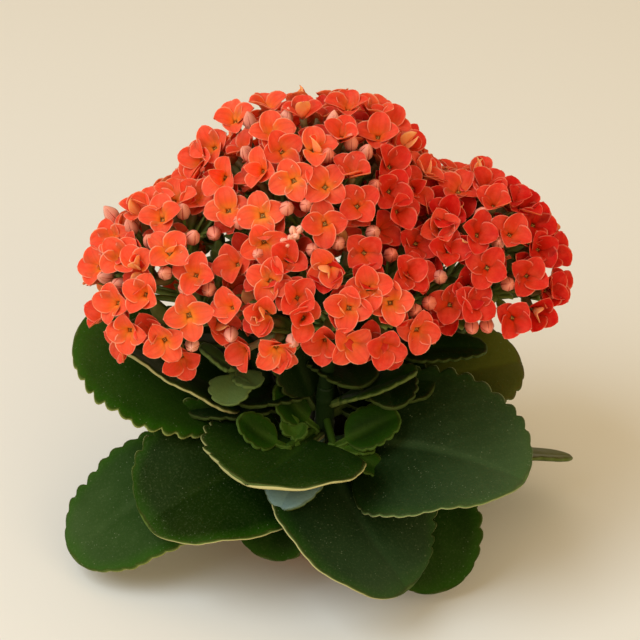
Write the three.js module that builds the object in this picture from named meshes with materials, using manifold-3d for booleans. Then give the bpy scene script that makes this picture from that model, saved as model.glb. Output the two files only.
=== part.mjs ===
// Potted kalanchoe: a low clay pot, its soil, six flowering stems with broad scalloped
// leaves, short leafy sprigs in the leaf axils, and six flower heads that meet in one dome.
// Millimetres, +Z up, origin at the centre of the pot's underside, -Y is the front.

import * as THREE from 'three';
import { mergeVertices } from 'three/addons/utils/BufferGeometryUtils.js';
import Module from 'manifold-3d';

const wasm = await Module();
wasm.setup();

// ---------------------------------------------------------------- driving dimensions

const CLEARANCE = 0.3;            // the gap that touching pieces keep

const POT = {
  height: 33, baseRadius: 21, neckRadius: 26,
  rimRadius: 29, rimHeight: 8, rimChamfer: 1,
  innerBaseRadius: 18, innerTopRadius: 24.4, floor: 3.6, sides: 32,
  holeRadius: 2.6, holeRing: 11, holes: 3, holeSides: 8,
};

const SOIL = { top: 29, crown: 0.8, crownRadius: 12, holeDepth: 10, holeGap: 0.4 };

const STEM = { footRadius: 4, topRadius: 3, lean: 1.3, sides: 8, steps: 4, joint: 0.5 };

// A leaf's blade is rounded at both ends and widest at a share of its length. Its stalk, its
// thickness and its scallops are smaller on a narrow leaf: each of those grows from a share
// of its full size, on a leaf of no width, to all of it at the width given with it.
const LEAF = {
  thickness: 1.8, stalkHalfWidth: 2, tipHalfWidth: 0.9, scallopDepth: 1.2,
  thicknessGrowth: [0.55, 40.5], stalkGrowth: [0.4, 36], scallopGrowth: [0, 40],
  stalk: 0.12, sprigStalk: 0.2, widest: 0.42, baseRound: [2.6, 0.6], tipRound: [2.3, 0.5],
  scallopStart: 0.12, scallopRamp: 0.15, rollBy: 0.15,
  scallops: 6, smallScallops: 4, sprigScallops: 2, smallLength: 42,
};

const SPRIG = { stalkRadii: [1.4, 1.3], stalkSides: 4 };

// A floret's petals rise by an angle in the range given. Its head sets how far apart its own
// florets are; those of two heads keep headSpacing.
const FLORET = {
  petals: 4, petalLength: 7.6, petalHalfWidth: 2.9, notch: 3.9, rise: [4, 28],
  depth: 2.6, throat: 1, throatSides: 3, headSpacing: 15.4, lift: 2,
};

const BUD = {
  radius: 2.3, halfLength: 3.7, base: 0.8, sides: 4,
  toFloret: 8.8, toBud: 6.6, headSpacing: 10.5, depth: 3,
};

// A head's stalk leaves its stem straight and ends in a fork, from which branches run to
// nodes on a smaller ellipsoid, a share of the head's own.
const STALK = {
  radius: 2.6, endRadius: 2.1, straight: 4, sides: 6, forkRadius: 3.1,
  branchRadius: 1.3, branchSides: 4, nodeRadius: 2.1, share: 0.66, spacing: 21, headSpacing: 12,
};

// How a head is filled: the places tried, how far down past its widest level they go, how
// deep in another head a place is dropped, and how far its florets turn from facing out.
const FILL = {
  tries: 600, nodeTries: 150, down: 1.05, budShare: 0.99,
  hidden: 1, nodeHidden: 0.9, budHidden: 1.02, upward: 0.2, stray: 0.5,
};

// Each stem: where it stands in the soil, and where its last leaf joint is.
const STEMS = {
  left: { foot: [-12, -3], top: [-22, -6, 74] },
  middle: { foot: [0, 4], top: [0, 3, 84] },
  right: { foot: [12, 0], top: [22, 0, 76] },
  front: { foot: [1, -13], top: [2, -19, 70] },
  back_left: { foot: [-7, 14], top: [-15, 20, 76] },
  back_right: { foot: [8, 14], top: [16, 20, 76] },
};

// Each flower head: the ellipsoid that its florets lie on, where its peduncle forks, and how
// far apart its florets are.
const HEADS = {
  left: { centre: [-46, -8, 97], radii: [31, 31, 37], fork: [-37, -7, 94], spacing: 11 },
  middle: { centre: [0, 6, 107], radii: [45, 44, 55], fork: [0, 4, 116], spacing: 11 },
  right: { centre: [50, -3, 100], radii: [31, 30, 38], fork: [40, -2, 96], spacing: 11 },
  front: { centre: [5, -23, 100], radii: [42, 26, 32], fork: [4, -25, 96], spacing: 11 },
  back_left: { centre: [-32, 30, 90], radii: [33, 28, 37], fork: [-26, 26, 90], spacing: 13 },
  back_right: { centre: [34, 30, 90], radii: [33, 28, 37], fork: [28, 26, 90], spacing: 13 },
};

// The leaves. Azimuth, slope and roll are in degrees, at the leaf's base and at its tip, or
// one value for both. Azimuth is counterclockwise from +X seen from above, slope is up from
// the level, and roll turns the blade about its midrib, its left side up. Cup is how far its
// left and its right side are lifted from the midrib.
const LEAVES = {
  right_broad: {
    stem: 'front', height: 46, length: 70, width: 63,
    azimuth: [-27], slope: [18, -10], roll: [48, 12], cup: [6, 8],
  },
  front_left_broad: {
    stem: 'front', height: 43, length: 65, width: 55,
    azimuth: [205], slope: [2, -28], roll: [-22, -16], cup: [0],
  },
  left_low: {
    stem: 'left', height: 39.5, length: 79, width: 50,
    azimuth: [198, 203], slope: [-2, -44], roll: [-12, -15], cup: [4],
  },
  left_high_rear: {
    stem: 'left', height: 47, length: 77, width: 56,
    azimuth: [169, 172], slope: [31, 15], roll: [9, -8], cup: [6, 8],
  },
  left_high: {
    stem: 'left', height: 50, length: 64, width: 42,
    azimuth: [186, 188], slope: [36, 30], roll: [-4, 4], cup: [12, 14],
  },
  front_bowl: {
    stem: 'front', height: 50, length: 45, width: 60,
    azimuth: [238], slope: [-3, 18], roll: [0], cup: [12],
  },
  front_low: {
    stem: 'front', height: 42, length: 61, width: 60,
    azimuth: [-82, -44], slope: [-4, -46], roll: [-2, -6], cup: [4, 8],
  },
  right_low: {
    stem: 'right', height: 41, length: 66, width: 44,
    azimuth: [-58], slope: [-2, -66], roll: [12], cup: [8],
  },
  front_under: {
    stem: 'front', height: 38, length: 41, width: 36,
    azimuth: [248, 246], slope: [2, -72], roll: [-6, -14], cup: [4],
  },
  right_high: {
    stem: 'right', height: 50, length: 56, width: 42,
    azimuth: [14], slope: [15, 0], roll: [25], cup: [10],
  },
  right_rear_low: {
    stem: 'back_right', height: 40, length: 82, width: 44,
    azimuth: [1], slope: [2, -34], roll: [-22, -26], cup: [4],
  },
  back_right_low: {
    stem: 'back_right', height: 42, length: 70, width: 54,
    azimuth: [44], slope: [4, -42], roll: [0], cup: [8],
  },
  back_low: {
    stem: 'back_left', height: 47, length: 70, width: 54,
    azimuth: [88], slope: [8, -36], roll: [0], cup: [8],
  },
  back_left_low: {
    stem: 'back_left', height: 41, length: 70, width: 54,
    azimuth: [142], slope: [0, -46], roll: [0], cup: [8],
  },
  back_right_high: {
    stem: 'back_right', height: 57, length: 56, width: 42,
    azimuth: [66], slope: [30, 6], roll: [0], cup: [12],
  },
  back_left_high: {
    stem: 'back_left', height: 57, length: 56, width: 42,
    azimuth: [118], slope: [30, 6], roll: [0], cup: [12],
  },
  front_high: {
    stem: 'front', height: 64, length: 31, width: 22,
    azimuth: [-6], slope: [18, 12], roll: [4], cup: [14],
  },
  middle_front: {
    stem: 'middle', height: 61, length: 20, width: 16,
    azimuth: [-50], slope: [10, 4], roll: [10], cup: [14],
  },
  right_top: {
    stem: 'right', height: 71, length: 34, width: 15,
    azimuth: [-4, -6], slope: [16, -2], roll: [16], cup: [10],
  },
  front_small: {
    stem: 'front', height: 48, length: 27, width: 14,
    azimuth: [268, 260], slope: [-4, -24], roll: [0], cup: [6],
  },
};

// The short leafy shoots in the leaf axils: where each leaves its stem, its stalk's length
// and slope, and its small leaves, each with its place along the stalk.
const SPRIGS = {
  front_left: {
    stem: 'front', height: 57, azimuth: 250, rise: -6, length: 12,
    leaves: [
      { at: 1, azimuth: [132, 124], slope: [34, 58], length: 22, width: 16, roll: [-25], cup: [12] },
      { at: 0.9, azimuth: [176, 172], slope: [12, 30], length: 19, width: 13, roll: [-25], cup: [12] },
      { at: 1, azimuth: [208, 204], slope: [-6, 20], length: 13, width: 9, roll: [0], cup: [14] },
      { at: 1, azimuth: [60], slope: [40, 66], length: 10, width: 7, roll: [0], cup: [14] },
    ],
  },
  front_right: {
    stem: 'front', height: 57, azimuth: -40, rise: -14, length: 11,
    leaves: [
      { at: 0.9, azimuth: [12, 10], slope: [30, 18], length: 25, width: 17, roll: [26], cup: [12] },
      { at: 1, azimuth: [-34], slope: [2, -18], length: 15, width: 7, roll: [20], cup: [14] },
      { at: 0.9, azimuth: [-8], slope: [10, -8], length: 14, width: 6, roll: [20], cup: [14] },
    ],
  },
  left: {
    stem: 'left', height: 68, azimuth: 232, rise: 30, length: 12,
    leaves: [
      { at: 1, azimuth: [262, 258], slope: [2, -40], length: 15, width: 15, roll: [0], cup: [6] },
      { at: 0.9, azimuth: [310, 306], slope: [10, -10], length: 12, width: 11, roll: [0], cup: [8] },
      { at: 1, azimuth: [190], slope: [46, 40], length: 16, width: 13, roll: [0], cup: [10] },
    ],
  },
};

// ---------------------------------------------------------------- solids and meshes

const COLOURS = {
  clay: new THREE.MeshStandardMaterial({ color: 0xb5613f, roughness: 0.85, metalness: 0 }),
  soil: new THREE.MeshStandardMaterial({ color: 0x2e2118, roughness: 1, metalness: 0 }),
  stem: new THREE.MeshStandardMaterial({ color: 0x4d7336, roughness: 0.55, metalness: 0 }),
  leaf: new THREE.MeshStandardMaterial({ color: 0x1f4a16, roughness: 0.45, metalness: 0 }),
  petal: new THREE.MeshStandardMaterial({ color: 0xe9502a, roughness: 0.6, metalness: 0 }),
};

/** A closed geometry as a solid that can be joined and cut. */
function solid(geometry) {
  geometry.deleteAttribute('normal');
  geometry.deleteAttribute('uv');
  const merged = mergeVertices(geometry, 1e-4);
  return new wasm.Manifold(new wasm.Mesh({
    numProp: 3,
    vertProperties: new Float32Array(merged.attributes.position.array),
    triVerts: new Uint32Array(merged.index.array),
  }));
}

/** The one outer body of a solid: loose scraps are dropped and sealed hollows filled. */
function outerBody(body) {
  return body.decompose().reduce((a, b) => (b.volume() > a.volume() ? b : a));
}

function geometryOf(body) {
  const mesh = body.getMesh();
  const geometry = new THREE.BufferGeometry();
  geometry.setAttribute('position', new THREE.BufferAttribute(new Float32Array(mesh.vertProperties), 3));
  geometry.setIndex(new THREE.BufferAttribute(new Uint32Array(mesh.triVerts), 1));
  geometry.computeVertexNormals();
  return geometry;
}

function piece(name, geometry, material) {
  const mesh = new THREE.Mesh(geometry, material);
  mesh.name = name;
  return mesh;
}

/**
 * Triangles between rings of equally many points, closed over by a fan at each end. The
 * sides from `turned` on are split along their other diagonal.
 */
function skin(rings, turned = Infinity) {
  const n = rings[0].length;
  const points = rings.flat();
  const index = [];
  for (let r = 0; r + 1 < rings.length; r++) {
    for (let i = 0; i < n; i++) {
      const a = r * n + i;
      const b = r * n + (i + 1) % n;
      if (i < turned) {
        index.push(a, b, b + n, a, b + n, a + n);
      } else {
        index.push(a, b, a + n, b, b + n, a + n);
      }
    }
  }
  const last = (rings.length - 1) * n;
  for (let i = 1; i + 1 < n; i++) {
    index.push(0, i + 1, i, last, last + i, last + i + 1);
  }
  const geometry = new THREE.BufferGeometry();
  geometry.setAttribute('position', new THREE.Float32BufferAttribute(points.flatMap((p) => p.toArray()), 3));
  geometry.setIndex(index);
  return geometry;
}

/** A round rod through some points, with a radius at each. */
function rod(points, radii, sides) {
  const rings = points.map((point, i) => {
    const ahead = points[Math.min(i + 1, points.length - 1)];
    const behind = points[Math.max(i - 1, 0)];
    const turn = new THREE.Quaternion().setFromUnitVectors(
      new THREE.Vector3(0, 0, 1), ahead.clone().sub(behind).normalize());
    return Array.from({ length: sides }, (_, k) => {
      const angle = 2 * Math.PI * k / sides;
      return new THREE.Vector3(Math.cos(angle), Math.sin(angle), 0)
        .multiplyScalar(radii[i]).applyQuaternion(turn).add(point);
    });
  });
  return skin(rings);
}

/** A repeatable number from 0 to 1 for a whole number, by a sine hash. */
function chance(n) {
  const x = Math.sin(n * 12.9898 + 4.1414) * 43758.5453;
  return x - Math.floor(x);
}

const radians = THREE.MathUtils.degToRad;
const vector = (xyz) => new THREE.Vector3(...xyz);

// ---------------------------------------------------------------- pot and soil

function potGeometry() {
  const p = POT;
  const neck = p.height - p.rimHeight;
  const outline = [
    [0, 0], [p.baseRadius, 0], [p.neckRadius, neck],
    [p.rimRadius - p.rimChamfer, neck], [p.rimRadius, neck + p.rimChamfer],
    [p.rimRadius, p.height - p.rimChamfer], [p.rimRadius - p.rimChamfer, p.height],
    [p.innerTopRadius, p.height], [p.innerBaseRadius, p.floor], [0, p.floor],
  ].map(([r, z]) => new THREE.Vector2(r, z));
  let pot = solid(new THREE.LatheGeometry(outline, p.sides).rotateX(Math.PI / 2));
  for (let k = 0; k < p.holes; k++) {
    const angle = 2 * Math.PI * (k + 0.5) / p.holes;
    const drain = new THREE.CylinderGeometry(p.holeRadius, p.holeRadius, 3 * p.floor, p.holeSides)
      .rotateX(Math.PI / 2)
      .translate(p.holeRing * Math.cos(angle), p.holeRing * Math.sin(angle), 0);
    pot = pot.subtract(solid(drain));
  }
  return geometryOf(pot);
}

/** The soil fills the pot to just under its rim, with a plain hole for each stem. */
function soilGeometry() {
  const inner = (z) => THREE.MathUtils.mapLinear(
    z, POT.floor, POT.height, POT.innerBaseRadius, POT.innerTopRadius) - CLEARANCE;
  const bottom = POT.floor + CLEARANCE;
  const crown = SOIL.top + SOIL.crown;
  const outline = [
    [0, bottom], [inner(bottom), bottom], [inner(SOIL.top), SOIL.top],
    [SOIL.crownRadius, crown], [0, crown],
  ].map(([r, z]) => new THREE.Vector2(r, z));
  let soil = solid(new THREE.LatheGeometry(outline, POT.sides).rotateX(Math.PI / 2));
  for (const { foot } of Object.values(STEMS)) {
    const radius = STEM.footRadius + SOIL.holeGap;
    const hole = new THREE.CylinderGeometry(radius, radius, 2 * SOIL.holeDepth, STEM.sides)
      .rotateX(Math.PI / 2).translate(foot[0], foot[1], SOIL.top);
    soil = soil.subtract(solid(hole));
  }
  return geometryOf(soil);
}

// ---------------------------------------------------------------- stems

/** A point on a stem's axis: upright in the soil, then leaning out towards its top. */
function onStem(name, z) {
  const { foot, top } = STEMS[name];
  const share = Math.max(0, (z - SOIL.top) / (top[2] - SOIL.top)) ** STEM.lean;
  return new THREE.Vector3(
    foot[0] + (top[0] - foot[0]) * share, foot[1] + (top[1] - foot[1]) * share, z);
}

/** A stem's radius at a height: it tapers from its foot in the soil to its top. */
function stemRadius(name, z) {
  const foot = SOIL.top - SOIL.holeDepth;
  return THREE.MathUtils.mapLinear(z, foot, STEMS[name].top[2], STEM.footRadius, STEM.topRadius);
}

function stemGeometry(name) {
  const top = STEMS[name].top[2];
  const heights = [SOIL.top - SOIL.holeDepth + CLEARANCE];
  for (let i = 0; i <= STEM.steps; i++) {
    heights.push(SOIL.top + (top - SOIL.top) * i / STEM.steps);
  }
  return rod(heights.map((z) => onStem(name, z)), heights.map((z) => stemRadius(name, z)), STEM.sides);
}

// ---------------------------------------------------------------- leaves

/** A value at a share of the way from the first of a pair to the second. */
const between = ([from, to = from], share) => from + (to - from) * share;

/** How much of a size a blade of a width has: from a share at no width up to all of it. */
const grown = ([share, full], width) => Math.min(1, between([share, 1], width / full));

/** Half the blade's width at u along it: rounded at both ends, with scallops past the base. */
function halfWidth(u, width, scallops) {
  const m = LEAF.widest;
  const [away, [power, root]] = u < m
    ? [(m - u) / m, LEAF.baseRound]
    : [(u - m) / (1 - m), LEAF.tipRound];
  const fade = THREE.MathUtils.clamp((u - LEAF.scallopStart) / LEAF.scallopRamp, 0, 1);
  const notch = 1 - Math.abs(Math.sin(Math.PI * scallops * u));
  return width / 2 * (1 - away ** power) ** root
    - LEAF.scallopDepth * grown(LEAF.scallopGrowth, width) * fade * notch;
}

/** One leaf as a thin blade, folded at its midrib, with a short stalk at its start. */
function leafGeometry(start, leaf, stalk, scallops) {
  const stalkHalf = LEAF.stalkHalfWidth * grown(LEAF.stalkGrowth, leaf.width);
  const half = LEAF.thickness / 2 * grown(LEAF.thicknessGrowth, leaf.width);
  const [leftCup, rightCup = leftCup] = leaf.cup.map(radians);
  const stations = [0, stalk * 0.9];
  for (let k = 1; k < 2 * scallops; k++) {
    stations.push(between([stalk, 1], k / (2 * scallops)));
  }
  stations.push(between([stalk, 1], 0.985), 1);
  const rings = [];
  const point = start.clone();
  let before = 0;
  for (const t of stations) {
    point.addScaledVector(along(leaf, (before + t) / 2), leaf.length * (t - before));
    before = t;
    const ahead = along(leaf, t);
    const level = new THREE.Vector3(-ahead.y, ahead.x, 0).normalize();
    const roll = radians(between(leaf.roll, t)) * Math.min(1, t / LEAF.rollBy);
    const side = level.applyAxisAngle(ahead, roll);
    const normal = ahead.clone().cross(side);
    const u = (t - stalk) / (1 - stalk);
    const w = u < 0.5
      ? Math.max(stalkHalf, u > 0 ? halfWidth(u, leaf.width, scallops) : 0)
      : Math.max(LEAF.tipHalfWidth, halfWidth(u, leaf.width, scallops));
    const at = (x, y) => point.clone().addScaledVector(side, x).addScaledVector(normal, y);
    const left = (y) => at(w * Math.cos(leftCup), w * Math.sin(leftCup) + y);
    const right = (y) => at(-w * Math.cos(rightCup), w * Math.sin(rightCup) + y);
    rings.push([left(-half), left(half), at(0, half), right(half), right(-half), at(0, -half)]);
  }
  return skin(rings, 4);
}

/** The leaf's direction at a share t of its length. */
function along(leaf, t) {
  const slope = radians(between(leaf.slope, t));
  const azimuth = radians(between(leaf.azimuth, t));
  return new THREE.Vector3(
    Math.cos(slope) * Math.cos(azimuth), Math.cos(slope) * Math.sin(azimuth), Math.sin(slope));
}

/** Where a leaf or shoot leaves its stem: just clear of the stem's skin, in a direction. */
function axil(name, height, azimuth, slope) {
  const out = new THREE.Vector3(Math.cos(radians(azimuth)), Math.sin(radians(azimuth)), 0);
  const tilted = LEAF.thickness / 2 * Math.abs(Math.sin(radians(slope)));
  return onStem(name, height).addScaledVector(out, stemRadius(name, height) + STEM.joint + tilted);
}

/** A short leafy shoot: its stalk, with small leaves fused to it. */
function sprigGeometry(sprig) {
  const root = axil(sprig.stem, sprig.height, sprig.azimuth, sprig.rise);
  const way = along({ azimuth: [sprig.azimuth], slope: [sprig.rise] }, 0);
  const end = root.clone().addScaledVector(way, sprig.length);
  const bodies = [solid(rod([root, end], SPRIG.stalkRadii, SPRIG.stalkSides))];
  for (const leaf of sprig.leaves) {
    const start = root.clone().lerp(end, leaf.at);
    bodies.push(solid(leafGeometry(start, leaf, LEAF.sprigStalk, LEAF.sprigScallops)));
  }
  return geometryOf(outerBody(wasm.Manifold.union(bodies)));
}

// ---------------------------------------------------------------- flower heads

/** A head's candidate places, spread evenly over its ellipsoid from the top down to its rim. */
function places(head, count, scale) {
  const golden = Math.PI * (3 - Math.sqrt(5));
  const found = [];
  for (let i = 0; i < count; i++) {
    const up = 1 - FILL.down * (i + 0.5) / count;
    const ring = Math.sqrt(1 - up * up);
    const way = new THREE.Vector3(Math.cos(golden * i) * ring, Math.sin(golden * i) * ring, up);
    const radii = vector(head.radii);
    found.push({
      at: way.clone().multiply(radii).multiplyScalar(scale).add(vector(head.centre)),
      facing: way.clone().divide(radii).normalize(),
    });
  }
  return found;
}

/** True if a point lies inside a head's ellipsoid, scaled. */
function insideHead(head, point, scale) {
  return point.clone().sub(vector(head.centre)).divide(vector(head.radii)).length() < scale;
}

const heads = Object.entries(HEADS).map(([name, head], number) => ({
  name, number, ...head, florets: [], buds: [], nodes: [],
}));

/** True if a point is at least `own` from its head's places and `other` from other heads'. */
function isFree(point, head, kinds, own, other) {
  return heads.every((h) => kinds.every((kind) => h[kind].every(
    (q) => q.at.distanceTo(point) >= (h === head ? own : other))));
}

for (const head of heads) {
  const others = heads.filter((h) => h !== head);
  for (const place of places(head, FILL.tries, 1)) {
    const hidden = others.some((h) => insideHead(h, place.at, FILL.hidden));
    if (!hidden && isFree(place.at, head, ['florets'], head.spacing, FLORET.headSpacing)) {
      head.florets.push(place);
    }
  }
  for (const place of places(head, FILL.nodeTries, STALK.share)) {
    const hidden = others.some((h) => insideHead(h, place.at, FILL.nodeHidden));
    if (!hidden && isFree(place.at, head, ['nodes'], STALK.spacing, STALK.headSpacing)) {
      head.nodes.push(place);
    }
  }
}
for (const head of heads) {
  const others = heads.filter((h) => h !== head);
  for (const place of places(head, FILL.tries, FILL.budShare)) {
    const hidden = others.some((h) => insideHead(h, place.at, FILL.budHidden));
    if (!hidden && isFree(place.at, head, ['florets'], BUD.toFloret, BUD.headSpacing)
      && isFree(place.at, head, ['buds'], BUD.toBud, BUD.headSpacing)) {
      head.buds.push(place);
    }
  }
}

/** The way a floret or bud faces: out of its head, a little upwards, and never quite alike. */
function facing(place, seed) {
  const stray = new THREE.Vector3(chance(seed) - 0.5, chance(seed + 1) - 0.5, chance(seed + 2) - 0.5);
  return place.facing.clone().add(new THREE.Vector3(0, 0, FILL.upward))
    .addScaledVector(stray, FILL.stray).normalize();
}

/** Points turned from facing +Z to face `way`, and moved to `at`. */
function turned(points, way, at) {
  const turn = new THREE.Quaternion().setFromUnitVectors(new THREE.Vector3(0, 0, 1), way);
  return points.map((p) => p.clone().applyQuaternion(turn).add(at));
}

/** A closed body of rings of any size, one to the next, where a ring of one point is a tip. */
function rings(loops) {
  const index = [];
  let start = 0;
  for (let r = 0; r + 1 < loops.length; r++) {
    const [a, b] = [loops[r].length, loops[r + 1].length];
    const steps = Math.max(a, b);
    for (let i = 0; i < steps; i++) {
      const [a0, a1] = [Math.floor(i * a / steps), Math.floor((i + 1) * a / steps) % a];
      const [b0, b1] = [Math.floor(i * b / steps), Math.floor((i + 1) * b / steps) % b];
      if (a0 !== a1) {
        index.push(start + a0, start + a + b0, start + a1);
      }
      if (b0 !== b1) {
        index.push(start + a1, start + a + b0, start + a + b1);
      }
    }
    start += a;
  }
  const geometry = new THREE.BufferGeometry();
  const points = loops.flat();
  geometry.setAttribute('position', new THREE.Float32BufferAttribute(points.flatMap((p) => p.toArray()), 3));
  geometry.setIndex(index);
  return geometry;
}

function circle(radius, sides, z) {
  return Array.from({ length: sides }, (_, k) => new THREE.Vector3(
    radius * Math.cos(2 * Math.PI * k / sides), radius * Math.sin(2 * Math.PI * k / sides), z));
}

/** One floret: four petals over a funnel, whose stalk tapers back to a node of its head. */
function floretGeometry(at, way, node, seed) {
  const f = FLORET;
  const axis = new THREE.Vector3(0, 0, 1);
  const pitch = 2 * Math.PI / f.petals;
  const start = pitch * chance(seed + 4);
  const rim = [];
  for (let petal = 0; petal < f.petals; petal++) {
    const spin = start + petal * pitch;
    const rise = radians(between(f.rise, chance(seed + 7 * petal)));
    const corner = (y) => new THREE.Vector3(
      f.petalLength * Math.cos(rise), y, f.petalLength * Math.sin(rise)).applyAxisAngle(axis, spin);
    const notch = new THREE.Vector3(f.notch, 0, 0).applyAxisAngle(axis, spin + pitch / 2);
    rim.push(corner(-f.petalHalfWidth), corner(f.petalHalfWidth), notch);
  }
  const throat = circle(f.throat, f.throatSides, -f.depth)
    .map((p) => p.applyAxisAngle(axis, start));
  return rings([
    turned([new THREE.Vector3()], way, at), turned(rim, way, at), turned(throat, way, at), [node]]);
}

/** One bud: a spindle whose stalk tapers back to a node of its head. */
function budGeometry(at, way, node) {
  return rings([
    turned([new THREE.Vector3(0, 0, BUD.halfLength)], way, at),
    turned(circle(BUD.radius, BUD.sides, 0), way, at),
    turned(circle(BUD.base, BUD.sides, -BUD.halfLength), way, at), [node]]);
}

/** A whole head: stalk, fork, branches, the nodes at their tips, florets and buds. */
function headGeometry(head) {
  const top = STEMS[head.name].top[2];
  const foot = onStem(head.name, top);
  const up = foot.clone().sub(onStem(head.name, top - (top - SOIL.top) / STEM.steps)).normalize();
  const start = foot.clone().addScaledVector(up, CLEARANCE);
  const bend = start.clone().addScaledVector(up, STALK.straight);
  const fork = vector(head.fork);
  const ball = (at, radius) => solid(new THREE.OctahedronGeometry(radius, 0).translate(at.x, at.y, at.z));
  const radii = [STALK.radius, STALK.radius, STALK.endRadius];
  const bodies = [ball(fork, STALK.forkRadius), solid(rod([start, bend, fork], radii, STALK.sides))];
  for (const { at } of head.nodes) {
    bodies.push(solid(rod([fork, at], [STALK.branchRadius, STALK.branchRadius], STALK.branchSides)));
    bodies.push(ball(at, STALK.nodeRadius));
  }
  const nearest = (point) => head.nodes.reduce(
    (a, b) => (b.at.distanceTo(point) < a.at.distanceTo(point) ? b : a)).at;
  head.florets.forEach((place, i) => {
    const seed = 1000 * head.number + 11 * i;
    const at = place.at.clone().addScaledVector(place.facing, FLORET.lift * (2 * chance(seed + 3) - 1));
    bodies.push(solid(floretGeometry(at, facing(place, seed), nearest(at), seed)));
  });
  head.buds.forEach((place, i) => {
    const seed = 1000 * head.number + 500 + 7 * i;
    const at = place.at.clone().addScaledVector(place.facing, -BUD.depth * chance(seed + 3));
    bodies.push(solid(budGeometry(at, facing(place, seed), nearest(at))));
  });
  return geometryOf(outerBody(wasm.Manifold.union(bodies)));
}

// ---------------------------------------------------------------- the plant in its pot

const plant = new THREE.Group();
plant.add(piece('pot', potGeometry(), COLOURS.clay));
plant.add(piece('soil', soilGeometry(), COLOURS.soil));
for (const name of Object.keys(STEMS)) {
  plant.add(piece(`stem_${name}`, stemGeometry(name), COLOURS.stem));
}
for (const [name, leaf] of Object.entries(LEAVES)) {
  const start = axil(leaf.stem, leaf.height, leaf.azimuth[0], leaf.slope[0]);
  const scallops = leaf.length > LEAF.smallLength ? LEAF.scallops : LEAF.smallScallops;
  plant.add(piece(`leaf_${name}`, leafGeometry(start, leaf, LEAF.stalk, scallops), COLOURS.leaf));
}
for (const [name, sprig] of Object.entries(SPRIGS)) {
  plant.add(piece(`sprig_${name}`, sprigGeometry(sprig), COLOURS.leaf));
}
for (const head of heads) {
  plant.add(piece(`flower_head_${head.name}`, headGeometry(head), COLOURS.petal));
}

export default plant;
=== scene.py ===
# %% [markdown]
# # A kalanchoe in its pot
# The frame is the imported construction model: a low clay pot, soil, six stems, the leaves and
# six flower heads, all at their real size. Every piece made here stands in the same place as
# the solid that it replaces, with the finish and the fine form that the solid leaves out.
# Sizes in the tables are millimetres, and MM turns them into Blender's metres.

# %% Load the frame
import math

import bpy
import numpy as np
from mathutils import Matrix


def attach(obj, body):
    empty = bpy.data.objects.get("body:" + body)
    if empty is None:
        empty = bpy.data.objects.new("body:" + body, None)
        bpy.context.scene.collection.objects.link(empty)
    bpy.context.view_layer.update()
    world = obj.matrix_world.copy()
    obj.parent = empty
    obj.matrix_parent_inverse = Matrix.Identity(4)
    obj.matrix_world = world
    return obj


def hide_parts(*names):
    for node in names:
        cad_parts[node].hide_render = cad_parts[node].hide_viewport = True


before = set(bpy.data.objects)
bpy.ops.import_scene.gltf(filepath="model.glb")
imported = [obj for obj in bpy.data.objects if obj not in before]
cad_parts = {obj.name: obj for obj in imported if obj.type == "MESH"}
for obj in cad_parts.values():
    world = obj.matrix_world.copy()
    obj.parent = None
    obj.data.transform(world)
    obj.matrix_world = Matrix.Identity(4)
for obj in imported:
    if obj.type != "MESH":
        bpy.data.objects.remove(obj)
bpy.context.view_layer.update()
MM = 0.001

# %% [markdown]
# ## Camera and light
# The plant was seen from the front and a good way above, so the camera looks down at 30
# degrees through a long lens. The light is one large soft lamp from the upper left, with a
# weak one from the right to keep the shadows open, in a plain cream room.

# %% Camera
TARGET = np.array([0.0, 0.0, 85.0]) * MM
ELEVATION = math.radians(30)
DISTANCE = 800 * MM
LENS = 130.5
SENSOR = 36.0
PICTURE = 640

RIGHT = np.array([1.0, 0.0, 0.0])
FORWARD = np.array([0.0, math.cos(ELEVATION), -math.sin(ELEVATION)])
UP = np.array([0.0, math.sin(ELEVATION), math.cos(ELEVATION)])
EYE = TARGET - FORWARD * DISTANCE

camera_data = bpy.data.cameras.new("camera")
camera_data.lens = LENS
camera_data.sensor_width = SENSOR
camera = bpy.data.objects.new("camera", camera_data)
camera.location = EYE
camera.rotation_euler = (math.pi / 2 - ELEVATION, 0, 0)
bpy.context.collection.objects.link(camera)
bpy.context.scene.camera = camera
print("camera at", [round(float(v), 3) for v in EYE])


# %% Lights
def area_light(name, place, size, power, colour):
    """A square lamp at `place`, turned to face the plant."""
    data = bpy.data.lights.new(name, "AREA")
    data.size = size
    data.energy = power
    data.color = colour
    lamp = bpy.data.objects.new(name, data)
    lamp.location = place
    away = np.array(place) - TARGET
    flat = math.hypot(away[0], away[1])
    lamp.rotation_euler = (math.atan2(flat, away[2]), 0, math.atan2(away[1], away[0]) + math.pi / 2)
    bpy.context.collection.objects.link(lamp)


area_light("key", (-0.75, -0.50, 1.05), 0.95, 14.0, (0.71, 0.835, 1.0))
area_light("fill", (0.6, -1.0, 0.5), 0.8, 3.9, (1.0, 0.79, 0.50))
bpy.context.scene.view_settings.view_transform = "Standard"

world = bpy.data.worlds.new("room")
bpy.context.scene.world = world
world.use_nodes = True
world.node_tree.nodes["Background"].inputs["Color"].default_value = (1.0, 0.785, 0.52, 1)
world.node_tree.nodes["Background"].inputs["Strength"].default_value = 0.76

# %% [markdown]
# ## Small tools
# Every surface here is a grid of points: rows along a piece, and a closed ring of points
# round it in each row. One function turns such a grid, or a stack of them, into a mesh with
# its ends closed, so leaves, petals, buds and stalks all come from arrays of numbers.


# %% Meshes from rings
def ring_faces(rows, ring):
    """Quads between `rows` rings of `ring` points each, and one face over each end."""
    r, k = np.meshgrid(np.arange(rows - 1), np.arange(ring), indexing="ij")
    a = r * ring + k
    b = r * ring + (k + 1) % ring
    quads = np.stack([a, b, b + ring, a + ring], axis=-1).reshape(-1, 4)
    first = np.arange(ring)[::-1]
    last = np.arange(ring) + (rows - 1) * ring
    return quads, [first, last]


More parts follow.
